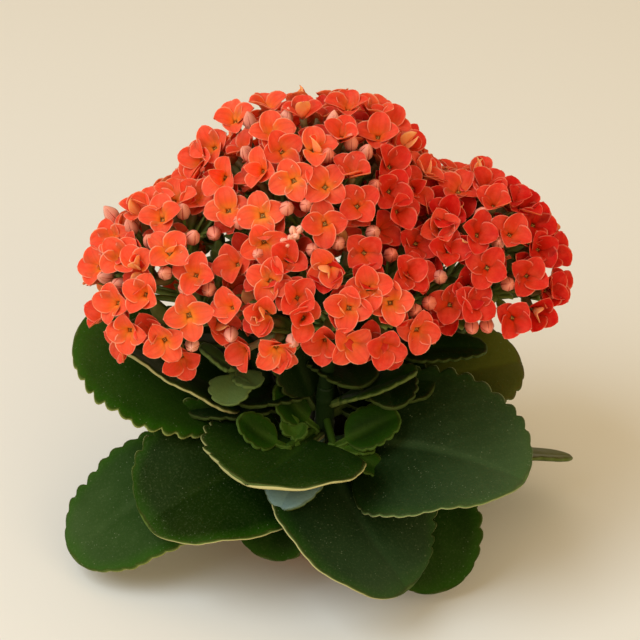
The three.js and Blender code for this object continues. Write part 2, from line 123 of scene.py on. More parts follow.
def make_piece(name, stacks, material, node=None):
    """
    One mesh from stacks of ring grids. A stack is (points, attributes): points has the shape
    (copies, rows, ring, 3) in metres, and each attribute is spread over those points. The node
    is the plain solid that the piece stands for, where there is one.
    """
    points, loops, totals, values = [], [], [], {}
    base = 0
    names = sorted({key for _, extra in stacks for key in extra})
    for grid, extra in stacks:
        copies, rows, ring, _ = grid.shape
        quads, ends = ring_faces(rows, ring)
        shift = base + np.arange(copies) * rows * ring
        body = (quads[None] + shift[:, None, None]).reshape(-1, 4)
        loops.append(body.ravel())
        totals.append(np.full(len(body), 4))
        for end in ends:
            cap = end[None] + shift[:, None]
            loops.append(cap.ravel())
            totals.append(np.full(len(cap), ring))
        points.append(grid.reshape(-1, 3))
        for key in names:
            full = np.broadcast_to(extra.get(key, 0.0), grid.shape[:3])
            values.setdefault(key, []).append(full.reshape(-1))
        base += copies * rows * ring
    points = np.concatenate(points)
    loops = np.concatenate(loops).astype(np.int32)
    totals = np.concatenate(totals).astype(np.int32)
    starts = np.concatenate([[0], np.cumsum(totals)[:-1]]).astype(np.int32)
    mesh = bpy.data.meshes.new(name)
    mesh.vertices.add(len(points))
    mesh.vertices.foreach_set("co", points.astype(np.float32).ravel())
    mesh.loops.add(len(loops))
    mesh.loops.foreach_set("vertex_index", loops)
    mesh.polygons.add(len(totals))
    mesh.polygons.foreach_set("loop_start", starts)
    mesh.polygons.foreach_set("use_smooth", np.ones(len(totals), dtype=bool))
    for key in names:
        layer = mesh.attributes.new(key, "FLOAT", "POINT")
        layer.data.foreach_set("value", np.concatenate(values[key]).astype(np.float32))
    mesh.update(calc_edges=True)
    mesh.validate()
    mesh.materials.append(material)
    piece = bpy.data.objects.new(name, mesh)
    bpy.context.collection.objects.link(piece)
    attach(piece, "root")
    if node is not None:
        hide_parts(node)
    return piece


print("a tube of 3 rings of 4 points has", len(ring_faces(3, 4)[0]), "quads and 2 ends")

# %% Directions, paths and chance
def unit(v):
    """Each vector of an array at length one."""
    return v / np.maximum(np.linalg.norm(v, axis=-1, keepdims=True), 1e-12)


def chance(n):
    """A repeatable number from 0 to 1 for each whole number, by a sine hash."""
    x = np.sin(np.asarray(n) * 12.9898 + 4.1414) * 43758.5453
    return x - np.floor(x)


def between(pair, share):
    """A value at a share of the way from the first of a pair to the last."""
    return pair[0] + (pair[-1] - pair[0]) * share


def direction(azimuth, slope):
    """A unit vector from an azimuth, counterclockwise from +X, and a slope, in degrees."""
    a, s = np.radians(azimuth), np.radians(slope)
    return np.stack([np.cos(s) * np.cos(a), np.cos(s) * np.sin(a), np.sin(s) + 0 * a], axis=-1)


def tubes(paths, radii, sides, flat=1.0):
    """
    Round tubes: paths is (copies, rows, 3) and radii (copies, rows). Each row is a circle
    square to the path, whose first spoke is carried along without twisting. A flat share under
    one presses the circle into a thin oval.
    """
    ahead = unit(np.gradient(paths, axis=1))
    spare = np.where(np.abs(ahead[:, 0, 2:3]) < 0.9, [[0.0, 0.0, 1.0]], [[1.0, 0.0, 0.0]])
    spokes = []
    spoke = unit(np.cross(spare, ahead[:, 0]))
    for row in range(paths.shape[1]):
        along_row = ahead[:, row]
        spoke = unit(spoke - along_row * np.sum(spoke * along_row, axis=-1, keepdims=True))
        spokes.append(spoke)
    one = np.stack(spokes, axis=1)[:, :, None, :]
    two = np.cross(ahead, one[:, :, 0])[:, :, None, :]
    angle = 2 * np.pi * np.arange(sides) / sides
    turn = np.cos(angle)[:, None] * one + flat * np.sin(angle)[:, None] * two
    return paths[:, :, None, :] + radii[:, :, None, None] * turn


def rods(paths, radii, sides, flat=1.0):
    """Tubes in millimetres: one row of radii for them all, or one row for each."""
    radii = np.broadcast_to(radii, paths.shape[:2])
    return tubes(paths * MM, radii * MM, sides, flat)


def short_rods(at, way, offsets, radii, sides):
    """A straight rod at each place: its rows stand at offsets along the way given there."""
    return rods(at[:, None] + way[:, None] * np.asarray(offsets)[..., None], radii, sides)


def bend(start, end, leave, arrive, rows):
    """Curves from start to end by Hermite's formula, leaving and arriving in the ways given."""
    t = np.linspace(0, 1, rows)[None, :, None]
    s, e, a, b = (v[:, None, :] for v in (start, end, leave, arrive))
    return ((2 * t**3 - 3 * t**2 + 1) * s + (t**3 - 2 * t**2 + t) * a
            + (-2 * t**3 + 3 * t**2) * e + (t**3 - t**2) * b)


def both_faces(columns):
    """Columns out over the top face and back under it, and the face of each: 1, 0 or -1."""
    face = np.concatenate([np.ones(len(columns)), -np.ones(len(columns) - 2)])
    face[[0, len(columns) - 1]] = 0
    return np.concatenate([columns, columns[-2:0:-1]]), face


print("tools ready")

# %% [markdown]
# ## Finishes
# Each finish is a Principled shader fed by a pattern. Patterns read where a point is on its own
# piece, or numbers stored on the points such as how far each is from a leaf's edge, so they
# stay fixed to the plant however it is seen.


# %% Node helpers
def sockets(group, way, kind, names):
    """Adds named sockets of one kind to a node group."""
    for name in names:
        group.interface.new_socket(name=name, in_out=way, socket_type=kind)


def link(tree, source, target):
    """Joins a node's output to another's input."""
    tree.links.new(source, target)


def math_node(tree, operation, a, b=0.0, c=None, clamp=False):
    """One maths step; each operand is a number or another node's output."""
    node = tree.nodes.new("ShaderNodeMath")
    node.operation = operation
    node.use_clamp = clamp
    for index, value in enumerate((a, b) if c is None else (a, b, c)):
        if isinstance(value, (int, float)):
            node.inputs[index].default_value = value
        else:
            link(tree, value, node.inputs[index])
    return node.outputs[0]


def times(tree, a, b, plus=None, clamp=False):
    """One value times another, and then plus a third where it is given."""
    return math_node(tree, "MULTIPLY" if plus is None else "MULTIPLY_ADD", a, b, plus, clamp)


def ramp_between(tree, value, low, high):
    """0 where the value is at or under low, 1 at or over high, and smooth between."""
    node = tree.nodes.new("ShaderNodeMapRange")
    node.interpolation_type = "SMOOTHSTEP"
    for index, number in ((1, low), (2, high)):
        if isinstance(number, (int, float)):
            node.inputs[index].default_value = number
        else:
            link(tree, number, node.inputs[index])
    link(tree, value, node.inputs[0])
    return node.outputs[0]


def mix(tree, share, a, b, how="MIX"):
    """One colour over another; a share, or a colour, is a value or another node's output."""
    node = tree.nodes.new("ShaderNodeMix")
    node.data_type = "RGBA"
    node.blend_type = how
    for index, value in ((0, share), (6, a), (7, b)):
        if isinstance(value, (int, float)):
            node.inputs[index].default_value = value
        elif isinstance(value, tuple):
            node.inputs[index].default_value = (*value, 1)
        else:
            link(tree, value, node.inputs[index])
    return node.outputs[2]


def stored(tree, name):
    """The number stored on the piece's points under a name."""
    node = tree.nodes.new("ShaderNodeAttribute")
    node.attribute_name = name
    return node.outputs["Fac"]


def noise(tree, scale, detail=3.0, roughness=0.5):
    """Cloudy noise at a scale per metre, read at the point's own place on the piece."""
    node = tree.nodes.new("ShaderNodeTexNoise")
    node.inputs["Scale"].default_value = scale
    node.inputs["Detail"].default_value = detail
    node.inputs["Roughness"].default_value = roughness
    link(tree, tree.nodes.new("ShaderNodeTexCoord").outputs["Object"], node.inputs["Vector"])
    return node.outputs["Fac"]


def dots(tree, scale, size):
    """Small round dots, about one in each cell of a random net at a scale per metre."""
    node = tree.nodes.new("ShaderNodeTexVoronoi")
    node.inputs["Scale"].default_value = scale
    link(tree, tree.nodes.new("ShaderNodeTexCoord").outputs["Object"], node.inputs["Vector"])
    return ramp_between(tree, node.outputs["Distance"], size, size * 0.35)


def new_material(name, roughness, specular=0.5):
    """A material with one Principled shader."""
    material = bpy.data.materials.new(name)
    material.use_nodes = True
    shader = material.node_tree.nodes["Principled BSDF"]
    shader.inputs["Roughness"].default_value = roughness
    shader.inputs["Specular IOR Level"].default_value = specular
    return material, material.node_tree, shader


def bump(tree, height, strength, distance, shader):
    """Relief from a height, fed to the shader's normal."""
    node = tree.nodes.new("ShaderNodeBump")
    node.inputs["Strength"].default_value = strength
    node.inputs["Distance"].default_value = distance
    link(tree, height, node.inputs["Height"])
    link(tree, node.outputs["Normal"], shader.inputs["Normal"])


print("node helpers ready")

# %% [markdown]
# ## Floor
# The plant stands on plain cream paper. It is one large square a hair's breadth under the pot,
# so that the two never share a plane, and it is stage: it goes with no piece of the plant.

# %% Floor
FLOOR = 6.0
FLOOR_DROP = 0.0002

floor_material, tree, shader = new_material("floor_paper", 0.85, 0.2)
shader.inputs["Base Color"].default_value = (0.757, 0.752, 0.688, 1)
floor_mesh = bpy.data.meshes.new("floor")
corners = [(-FLOOR, -FLOOR, 0), (FLOOR, -FLOOR, 0), (FLOOR, FLOOR, 0), (-FLOOR, FLOOR, 0)]
floor_mesh.from_pydata(corners, [], [(0, 1, 2, 3)])
floor_mesh.materials.append(floor_material)
floor = bpy.data.objects.new("floor", floor_mesh)
floor.location.z = -FLOOR_DROP
bpy.context.collection.objects.link(floor)
print("floor", FLOOR, "m from the middle to each edge")

# %% [markdown]
# ## Pot
# A thrown or pressed clay pot is a profile turned about its axis. The profile is walked as a
# line with rounded corners: up the outside, round the thick rim, and down the inside to the
# floor. Its underside is plain here, as the drain holes are only in the construction model.

# %% Pot shape
POT = dict(height=33, base=21, neck=26, rim=29, rim_height=8, inner_base=18, inner_top=24.4,
           floor=3.6, middle=0.6)
POT_SIDES = 96
CORNER_STEPS = 4


def rounded(corners, steps):
    """A line through corners (r, z, rounding): each corner becomes a quadratic curve."""
    spots = np.array([c[:2] for c in corners], dtype=float)
    out = [spots[0]]
    for i in range(1, len(corners) - 1):
        size = corners[i][2]
        before = spots[i] + unit(spots[i - 1] - spots[i]) * size
        after = spots[i] + unit(spots[i + 1] - spots[i]) * size
        t = np.linspace(0, 1, steps + 1)[:, None]
        out.extend((1 - t)**2 * before + 2 * t * (1 - t) * spots[i] + t**2 * after)
    out.append(spots[-1])
    return np.array(out)


def turned(profile, sides):
    """A profile of (r, z) turned about the vertical axis, as one ring grid."""
    angle = 2 * np.pi * np.arange(sides) / sides
    r, z = profile[:, 0:1], profile[:, 1:2]
    grid = np.stack([r * np.cos(angle), r * np.sin(angle), z + 0 * angle], axis=-1)
    return grid[None] * MM


neck = POT["height"] - POT["rim_height"]
profile = rounded([
    (POT["middle"], 0, 0), (POT["base"], 0, 1.2), (POT["neck"], neck, 0.8), (POT["rim"], neck, 1.0),
    (POT["rim"], POT["height"], 1.3), (POT["inner_top"], POT["height"], 1.2),
    (POT["inner_base"], POT["floor"], 2.0), (POT["middle"], POT["floor"], 0)], CORNER_STEPS)

clay, tree, shader = new_material("clay", 0.86, 0.25)
patch = ramp_between(tree, noise(tree, 45, 5, 0.6), 0.35, 0.7)
colour = mix(tree, patch, (0.40, 0.13, 0.055), (0.50, 0.19, 0.095))
bloom = ramp_between(tree, noise(tree, 120, 4, 0.65), 0.6, 0.8)
colour = mix(tree, times(tree, bloom, 0.4), colour, (0.68, 0.50, 0.38))
link(tree, colour, shader.inputs["Base Color"])
bump(tree, noise(tree, 1400, 3, 0.6), 0.35, 0.0004, shader)

pot = make_piece("clay_pot", [(turned(profile, POT_SIDES), {})], clay, node="pot")
print("pot", len(pot.data.polygons), "faces")

# %% [markdown]
# ## Soil
# Potting soil is crumbly peat. It is a round plate whose top is lifted a little by crossed sine
# waves, and its rough look comes from bump and a mix of browns.

# %% Soil
SOIL_TOP = 29.0
SOIL_RINGS = 40
SOIL_CROWN = 0.5
SOIL_MIDDLE = 0.4
WALL_GAP = 0.3


def crumbs(x, y):
    """Height in millimetres: sine waves of three sizes, each pair crossing the other."""
    wave = np.sin(0.9 * x + 1.3) * np.sin(1.1 * y + 0.4)
    wave = wave + 0.6 * np.sin(2.3 * x - 1.7 * y) * np.sin(1.9 * y + 1.2 * x)
    return 0.28 * wave + 0.15 * np.sin(4.1 * x + 3.7 * y) * np.sin(3.9 * y - 2.9 * x)


def soil_wall(z):
    """The soil's radius at a height: the pot's inside there, less a small gap."""
    heights, insides = [POT["floor"], POT["height"]], [POT["inner_base"], POT["inner_top"]]
    return np.interp(z, heights, insides) - WALL_GAP


reach = np.linspace(soil_wall(SOIL_TOP), SOIL_MIDDLE, SOIL_RINGS)
angle = 2 * np.pi * np.arange(POT_SIDES) / POT_SIDES
top_x = reach[:, None] * np.cos(angle)
top_y = reach[:, None] * np.sin(angle)
inward = 1 - (reach[:, None] / reach[0])**4
top_z = SOIL_TOP + inward * (SOIL_CROWN + crumbs(top_x, top_y))
low = POT["floor"] + WALL_GAP
under = np.array([SOIL_MIDDLE, soil_wall(low)])[:, None]
under_grid = np.stack([under * np.cos(angle), under * np.sin(angle), low + 0 * under * angle], axis=-1)
soil_grid = np.concatenate([under_grid, np.stack([top_x, top_y, top_z], axis=-1)])[None] * MM

peat, tree, shader = new_material("peat", 0.95, 0.15)
colour = mix(tree, noise(tree, 700, 4, 0.7), (0.012, 0.007, 0.004), (0.07, 0.038, 0.02))
link(tree, colour, shader.inputs["Base Color"])
bump(tree, noise(tree, 900, 5, 0.7), 0.8, 0.0012, shader)
soil = make_piece("potting_soil", [(soil_grid, {})], peat, node="soil")
print("soil", len(soil.data.polygons), "faces")

# %% [markdown]
# ## Stems
# Six fleshy stems stand in the soil and lean outwards. Each is a tube that tapers upwards and
# swells a little at every leaf joint, green where it is young and brownish at its foot.

# %% Stem shapes
STEMS = {
    "left": ((-12, -3), (-22, -6, 74)),
    "middle": ((0, 4), (0, 3, 84)),
    "right": ((12, 0), (22, 0, 76)),
    "front": ((1, -13), (2, -19, 70)),
    "back_left": ((-7, 14), (-15, 20, 76)),
    "back_right": ((8, 14), (16, 20, 76)),
}
STEM_FOOT, STEM_TOP, STEM_LEAN = 4.0, 3.0, 1.3
STEM_DEPTH = 10.0
STEM_ROWS, STEM_SIDES = 60, 20
JOINT_STEP, JOINT_SWELL = 11.0, 0.35
STEM_GAP, STEM_OVER = 0.3, 0.6


def on_stem(name, z):
    """A point on a stem's axis: upright in the soil, then leaning out towards its top."""
    foot, top = STEMS[name]
    share = np.maximum(0, (z - SOIL_TOP) / (top[2] - SOIL_TOP))**STEM_LEAN
    return np.stack([foot[0] + (top[0] - foot[0]) * share, foot[1] + (top[1] - foot[1]) * share,
                     z + 0 * share], axis=-1)


def stem_radius(name, z):
    """The radius at a height: an even taper from the foot in the soil to the top."""
    return np.interp(z, [SOIL_TOP - STEM_DEPTH, STEMS[name][1][2]], [STEM_FOOT, STEM_TOP])


bark, tree, shader = new_material("stem_skin", 0.55, 0.12)
age = ramp_between(tree, stored(tree, "height"), 25.0, 60.0)
colour = mix(tree, age, (0.032, 0.021, 0.008), (0.010, 0.026, 0.004))
darker = mix(tree, 1.0, colour, (0.62, 0.62, 0.6), "MULTIPLY")
colour = mix(tree, noise(tree, 260, 4, 0.6), colour, darker)
link(tree, colour, shader.inputs["Base Color"])
bump(tree, noise(tree, 900, 3, 0.6), 0.25, 0.0004, shader)

for number, name in enumerate(STEMS):
    z = np.linspace(SOIL_TOP - STEM_DEPTH + STEM_GAP, STEMS[name][1][2] + STEM_OVER, STEM_ROWS)
    joints = np.maximum(0, np.cos(2 * np.pi * (z + 4 * number) / JOINT_STEP))**8
    radius = stem_radius(name, z) + JOINT_SWELL * joints * (z > SOIL_TOP)
    grid = rods(on_stem(name, z)[None], radius, STEM_SIDES)
    make_piece(f"stem_{name}_skin", [(grid, {"height": z[None, :, None]})], bark,
               node=f"stem_{name}")
print("stems", len(STEMS))

# %% [markdown]
# ## Leaves
# A kalanchoe leaf is thick and waxy, folded a little along its midrib, with a round-toothed
# margin. It is one surface of two parameters: t runs from the stalk to the tip along a line
# that bends in slope and azimuth, and v runs from edge to edge, out over the top face and back
# under the lower one. The thickness falls to nothing at the edge by a root of a power of v, so
# the margin is round and the surface closes on itself.

# %% Leaf table
# stem, height, length, width, then azimuth, slope, roll and cup, all in degrees: azimuth, slope
# and roll at the base and the tip, cup for the left and the right side of the midrib.
LEAVES = {
    "right_broad": ("front", 46, 72, 63, (-27,), (18, -9), (48, 6), (6, 12)),
    "front_left_broad": ("front", 43, 65, 59, (205,), (2, -28), (-38, -6), (11, 21)),
    "left_low": ("left", 38.8, 82, 53, (201, 205), (-2, -43), (-8, -11), (-5, 3)),
    "left_high_rear": ("left", 47, 73, 61, (169, 172), (31, 14), (9, -8), (-14, 8)),
    "left_high": ("left", 50, 64, 42, (186, 188), (36, 30), (-4, 4), (12, 14)),
    "front_bowl": ("front", 50, 45, 60, (238,), (-3, 18), (0,), (12,)),
    "front_low": ("front", 42, 61, 60, (-78, -39), (-4, -46), (-2, -6), (4, 8)),
    "right_low": ("right", 40, 66, 45, (-60,), (-2, -66), (12,), (8,)),
    "front_under": ("front", 38, 42, 34, (240, 237), (2, -66), (-6, -14), (4,)),
    "right_high": ("right", 52, 54, 42, (14,), (15, 0), (25,), (10,)),
    "right_rear_low": ("back_right", 40, 82, 36, (0,), (-28, -3), (-21, -25), (4,)),
    "back_right_low": ("back_right", 42, 70, 54, (44,), (4, -42), (0,), (8,)),
    "back_low": ("back_left", 47, 70, 54, (88,), (8, -36), (0,), (8,)),
    "back_left_low": ("back_left", 41, 70, 54, (142,), (0, -46), (0,), (8,)),
    "back_right_high": ("back_right", 57, 56, 42, (66,), (30, 6), (0,), (12,)),
    "back_left_high": ("back_left", 57, 56, 42, (118,), (30, 6), (0,), (12,)),
    "front_high": ("front", 64, 34, 21, (-32, -2), (36, 27), (-5,), (10,)),
    "middle_front": ("middle", 60, 20, 16, (-42,), (0, -16), (10,), (14,)),
    "right_top": ("right", 71, 34, 15, (-4, -6), (16, -2), (16,), (10,)),
    "front_small": ("front", 48, 37, 22, (252, 244), (3, -22), (0,), (6,)),
}
print("leaves in the table", len(LEAVES))

# %% Leaf shape
LEAF_ROWS = 110
HALF_COLUMNS = np.array([0, 0.04, 0.11, 0.28, 0.5, 0.72, 0.88, 0.955, 0.985, 1])
LEAF_V, LEAF_FACE = both_faces(np.concatenate([HALF_COLUMNS[::-1], -HALF_COLUMNS[1:]]))
LEAF_THICKNESS, STALK_HALF, LEAST_HALF = 2.2, 2.0, 0.3
STALK_SHARE, SPRIG_STALK_SHARE = 0.12, 0.2
WIDEST = 0.42
TOOTH_DEPTH, TOOTH_STEP = 2.5, 6.4
USUAL_TEETH = (0.8, 0.8)
ROLL_SETS_IN = 0.15
SINK = 1.8


def plain_half_width(u, width):
    """Half the blade's width, rounded at both ends, before its teeth are cut."""
    base = (1 - np.clip((WIDEST - u) / WIDEST, 0, 1)**2.6)**0.6
    tip = np.sqrt(np.maximum(0, 1 - np.clip((u - WIDEST) / (1 - WIDEST), 0, 1)**2.3))
    return width / 2 * np.where(u < WIDEST, base, tip)


def margin_length(u, length, width):
    """How far along its margin a point of the blade is: the running sum of small chords."""
    fine = np.linspace(0, 1, 600)
    half = plain_half_width(fine, width)
    chord = np.hypot(np.diff(fine) * length, np.diff(half))
    return np.interp(u, fine, np.concatenate([[0], np.cumsum(chord)]))


def leaf_line(start, length, azimuth, slope, roll):
    """
    The share t of each row, the centre line, and the ways to the side and up from the blade.
    The line is the running sum of short steps in the leaf's direction. The side is the level
    line square to it, turned by the roll.
    """
    rows = np.linspace(0, 1, LEAF_ROWS)
    t = np.concatenate([[-SINK / length], rows**2 * (3 - 2 * rows)])
    middle = (t[1:] + t[:-1]) / 2
    steps = direction(between(azimuth, middle), between(slope, middle)) * np.diff(t)[:, None] * length
    line = np.concatenate([[[0, 0, 0]], np.cumsum(steps, axis=0)])
    ahead = direction(between(azimuth, t), between(slope, t))
    level = unit(np.cross([0, 0, 1], ahead))
    turn = np.radians(between(roll, t)) * np.clip(t / ROLL_SETS_IN, 0, 1)
    side = level * np.cos(turn)[:, None] + np.cross(ahead, level) * np.sin(turn)[:, None]
    return t, line - line[1] + start, side, np.cross(ahead, side)


def tooth_notches(travel, u, size, luck, share):
    """
    How deep the notches between the teeth are, as a share of the deepest. They come at even
    steps along the margin, are a little uneven, fade out at the stalk and shrink at the tip.
    """
    phase = travel / (TOOTH_STEP * (0.55 + 0.45 * size)) + np.where(LEAF_V > 0, luck[0], luck[1])
    uneven = 0.75 + 0.5 * np.sin(travel / 13 + 5 * luck[2] + LEAF_V)**2
    fade = np.clip((u - 0.1) / 0.14, 0, 1) * (1 - 0.75 * np.clip((u - 0.8) / 0.2, 0, 1))
    return (1 - np.abs(np.sin(np.pi * phase)))**1.25 * uneven * fade[:, None] * share


def leaf_grid(start, shape, stalk, seed, teeth=USUAL_TEETH, fresh=0.0):
    """
    The leaf as one ring grid, and the numbers stored on it. A point at v is out along the
    blade's side by v times the half width, up by the fold, and up or down by half the thickness
    there. Round teeth are cut by a share for each side, a slow wave lifts the blade and a
    shallow groove runs down its midrib.
    """
    length, width, azimuth, slope, roll, cup = shape
    t, line, side, normal = leaf_line(start, length, azimuth, slope, roll)
    v, reach = LEAF_V, np.abs(LEAF_V)
    u = (t - stalk) / (1 - stalk)
    inside = np.clip(u, 0, 1)
    luck = chance(seed), chance(seed + 1), chance(seed + 2)

    size = min(1, width / 40)
    share = np.where(v > 0, teeth[0], teeth[-1])
    travel = margin_length(inside, length, width)[:, None]
    notch = tooth_notches(travel, u, size, luck, share)
    blade = np.where(u > 0, plain_half_width(inside, width), 0)[:, None]
    blade = blade - TOOTH_DEPTH * (0.4 + 0.6 * size) * notch * reach**6
    stalk_half = STALK_HALF * min(1, 0.4 + width / 60)
    half = np.sqrt(np.maximum(blade, 0)**2 + (stalk_half * (u < 0.5))[:, None]**2)
    half = np.maximum(half, LEAST_HALF)
    x = v * half

    thick = LEAF_THICKNESS / 2 * min(1, 0.55 + width / 90)
    body = thick * (1 + 0.5 * np.clip(1 - u, 0, 1)**3)[:, None] * np.sqrt(1 - reach**9)
    body = body * np.sqrt(1 - 0.96 * inside**60)[:, None]
    lift = np.where(v > 0, np.tan(np.radians(cup[0])), np.tan(np.radians(cup[-1])))
    fold = np.sqrt(x**2 + 4.0) - 2.0
    ripple = np.sin(travel / (3.4 + luck[1]) + 6 * luck[0] + 2.0 * np.sign(v)) * reach**3
    ripple = ripple * (1 - inside**6)[:, None]
    swell = np.sin(4.5 * u[:, None] + 6 * luck[2])
    wave = 0.022 * width * ripple + 0.014 * width * swell + 0.35 * notch * reach**6
    groove = -0.4 * np.exp(-(x / 1.4)**2) * np.clip(u * 4, 0, 1)[:, None] * (LEAF_FACE > 0)
    y = lift * fold + wave * inside[:, None] + body * LEAF_FACE + groove

    grid = line[:, None] + side[:, None] * x[..., None] + normal[:, None] * y[..., None]
    edge = np.minimum((1 - reach) * half, (1 - u[:, None]) * length * 0.8)
    stores = {"edge": edge, "across": x, "along": u[:, None], "upper": (LEAF_FACE + 1) / 2,
              "smooth": 1 - share, "fresh": fresh}
    return grid[None] * MM, stores


def axil(name, height, azimuth, slope):
    """Where a leaf leaves its stem: just clear of the stem's skin."""
    out = direction(azimuth, 0.0)
    clear = stem_radius(name, height) + 0.5 + 0.9 * abs(math.sin(math.radians(slope)))
    return on_stem(name, np.float64(height)) + out * clear


def stem_leaf(leaf, seed, teeth=USUAL_TEETH):
    """A leaf of the table, starting at its stem's skin."""
    stem, height, *shape = leaf
    start = axil(stem, height, shape[2][0], shape[3][0])
    return leaf_grid(start, shape, STALK_SHARE, seed, teeth)


print("leaf surface: t along, v across, both faces in one ring")

# %% [markdown]
# ## Leaf finish
# The upper face is dark, satin and waxy, with a paler band along the midrib and faint side veins.
# Inside its margin runs a band of sap green, and the margin is a thin pale line with a red-brown one
# beside it. The thick edge of the leaves nearest the eye is cream, partly its own colour and partly a
# painted highlight, and each leaf turns lighter towards its tip as a painted sheen. One group makes
# this pattern, and each leaf's material gives it its greens. Some materials are lit and shaded copies,
# and their greens are painted light and painted shade.

# %% Leaf pattern
RIM_WIDTH = 0.8
RED_BROWN, SAP_GREEN = (0.06, 0.022, 0.01), (0.022, 0.088, 0.001)
MOTTLE, PALE_SPECK, UNDERSIDE = (0.13, 0.17, 0.07), (0.45, 0.5, 0.3), (0.08, 0.12, 0.035)


def leaf_pattern():
    """
    The node group that colours a leaf from the numbers stored on its points: first the greens, the
    midrib, the veins, a painted sheen towards the tip and the band inside the margin, then the mottle
    and specks, then the margin's line and rim, then the underside and the edge, whose cream is partly a
    painted highlight.
    """
    group = bpy.data.node_groups.new("leaf_pattern", "ShaderNodeTree")
    sockets(group, "INPUT", "NodeSocketColor", ["Deep", "Light", "Rim", "Lip"])
    sockets(group, "INPUT", "NodeSocketFloat", ["Line Share", "Speckle", "Glow", "Tip Sheen", "Sap"])
    sockets(group, "OUTPUT", "NodeSocketColor", ["Color"])
    sockets(group, "OUTPUT", "NodeSocketFloat", ["Roughness", "Height"])
    given = group.nodes.new("NodeGroupInput").outputs
    out = group.nodes.new("NodeGroupOutput").inputs
    across, along = stored(group, "across"), stored(group, "along")
    edge, upper = stored(group, "edge"), stored(group, "upper")
    smooth, fresh = stored(group, "smooth"), stored(group, "fresh")
    aside = math_node(group, "ABSOLUTE", across)

    cloud = ramp_between(group, noise(group, 38, 3, 0.55), 0.3, 0.72)
    tone = times(group, cloud, given["Glow"])
    midrib = ramp_between(group, aside, 2.6, 0.3)
    fading = math_node(group, "SUBTRACT", 1.0, along)
    midrib = times(group, midrib, fading, clamp=True)
    slant = times(group, aside, -0.028, times(group, along, 1.6))
    stripe = math_node(group, "SINE", times(group, slant, 26.0))
    vein = times(group, ramp_between(group, stripe, 0.2, 1.0), ramp_between(group, edge, 1.0, 7.0))
    tone = times(group, midrib, 0.45, tone)
    tone = times(group, vein, 0.03, tone)
    # Painted sheen: each leaf turns lighter towards its tip, by its own share.
    tip_sheen = times(group, math_node(group, "POWER", along, 2.2), given["Tip Sheen"])
    tone = math_node(group, "ADD", tone, tip_sheen)
    tone = times(group, fresh, 0.7, tone, clamp=True)
    colour = mix(group, tone, given["Deep"], given["Light"])
    band = times(group, ramp_between(group, edge, 7.0, 0.5), given["Sap"])
    colour = mix(group, band, colour, SAP_GREEN)
    mottle = ramp_between(group, noise(group, 1300, 4, 0.75), 0.5, 0.72)
    mottle = times(group, mottle, times(group, along, 0.35, 0.12))
    mottle = times(group, mottle, given["Speckle"])
    colour = mix(group, mottle, colour, MOTTLE)
    speck = dots(group, 640, 0.16)
    patchy = ramp_between(group, noise(group, 90, 2, 0.5), 0.42, 0.6)
    speck = times(group, times(group, speck, patchy), given["Speckle"])
    colour = mix(group, speck, colour, mix(group, 0.5, given["Light"], PALE_SPECK))
    wobble = times(group, noise(group, 260, 2, 0.5), 1.2, -0.6)
    edge_here = math_node(group, "ADD", edge, wobble)
    line = ramp_between(group, edge_here, 2.1 * RIM_WIDTH, RIM_WIDTH)
    colour = mix(group, times(group, line, given["Line Share"]), colour, RED_BROWN)
    rim = ramp_between(group, edge_here, RIM_WIDTH, 0.45 * RIM_WIDTH)
    colour = mix(group, times(group, rim, 0.6), colour, given["Rim"])
    pale = mix(group, 0.3, colour, UNDERSIDE)
    colour = mix(group, ramp_between(group, upper, 0.6, 0.2), colour, pale)
    # The thick edge takes the Lip colour, in full on the smooth sides nearest the eye. It is partly the
    # edge's own paler colour and partly a painted highlight.
    wall = times(group, ramp_between(group, upper, 0.98, 0.6), ramp_between(group, edge, 1.6, 0.9))
    dull = mix(group, 0.6, given["Rim"], given["Lip"])
    colour = mix(group, wall, colour, mix(group, smooth, dull, given["Lip"]))
    link(group, colour, out["Color"])
    rough = times(group, noise(group, 90, 3, 0.6), 0.2, 0.42)
    link(group, rough, out["Roughness"])
    grain = math_node(group, "ADD", noise(group, 420, 4, 0.7), times(group, speck, 0.4))
    relief = times(group, grain, 0.8, times(group, midrib, -0.6))
    link(group, relief, out["Height"])
    return group


LEAF_PATTERN = leaf_pattern()
print("leaf pattern", len(LEAF_PATTERN.nodes), "nodes")


def leaf_material(name, deep, light, rim=(0.06, 0.09, 0.02), lip=(0.10, 0.13, 0.03),
                  line_share=0.15, speckle=0.25, glow=0.3, tip=0.3, sap=0.0, specular=0.15):
    """A leaf's finish: the shared pattern with this leaf's greens, rim and speckles."""
    material, tree, shader = new_material(name, 0.45, specular)
    node = tree.nodes.new("ShaderNodeGroup")
    node.node_tree = LEAF_PATTERN
    for key, value in (("Deep", deep), ("Light", light), ("Rim", rim), ("Lip", lip)):
        node.inputs[key].default_value = (*value, 1)
    for key, value in (("Line Share", line_share), ("Speckle", speckle), ("Glow", glow),
                       ("Tip Sheen", tip), ("Sap", sap)):
        node.inputs[key].default_value = value
    link(tree, node.outputs["Color"], shader.inputs["Base Color"])
    link(tree, node.outputs["Roughness"], shader.inputs["Roughness"])
    shader.inputs["Specular Tint"].default_value = (0.9, 1.0, 0.4, 1)
    bump(tree, node.outputs["Height"], 0.45, 0.0007, shader)
    return material


# The cream edge of these finishes is partly a painted highlight.
CREAM_EDGED = dict(lip=(0.50, 0.46, 0.20), speckle=0.5)
OLD_LEAF = dict(lip=(0.3, 0.32, 0.09), rim=(0.10, 0.13, 0.03), line_share=0.2, tip=0.65, sap=0.45)
# Painted shade: the usual finish, a darkened copy of the leaf greens for leaves in the plant's shade.
SHADED = leaf_material("leaf_shaded", (0.002, 0.011, 0.0004), (0.010, 0.042, 0.001), sap=0.3,
                       specular=0.1)
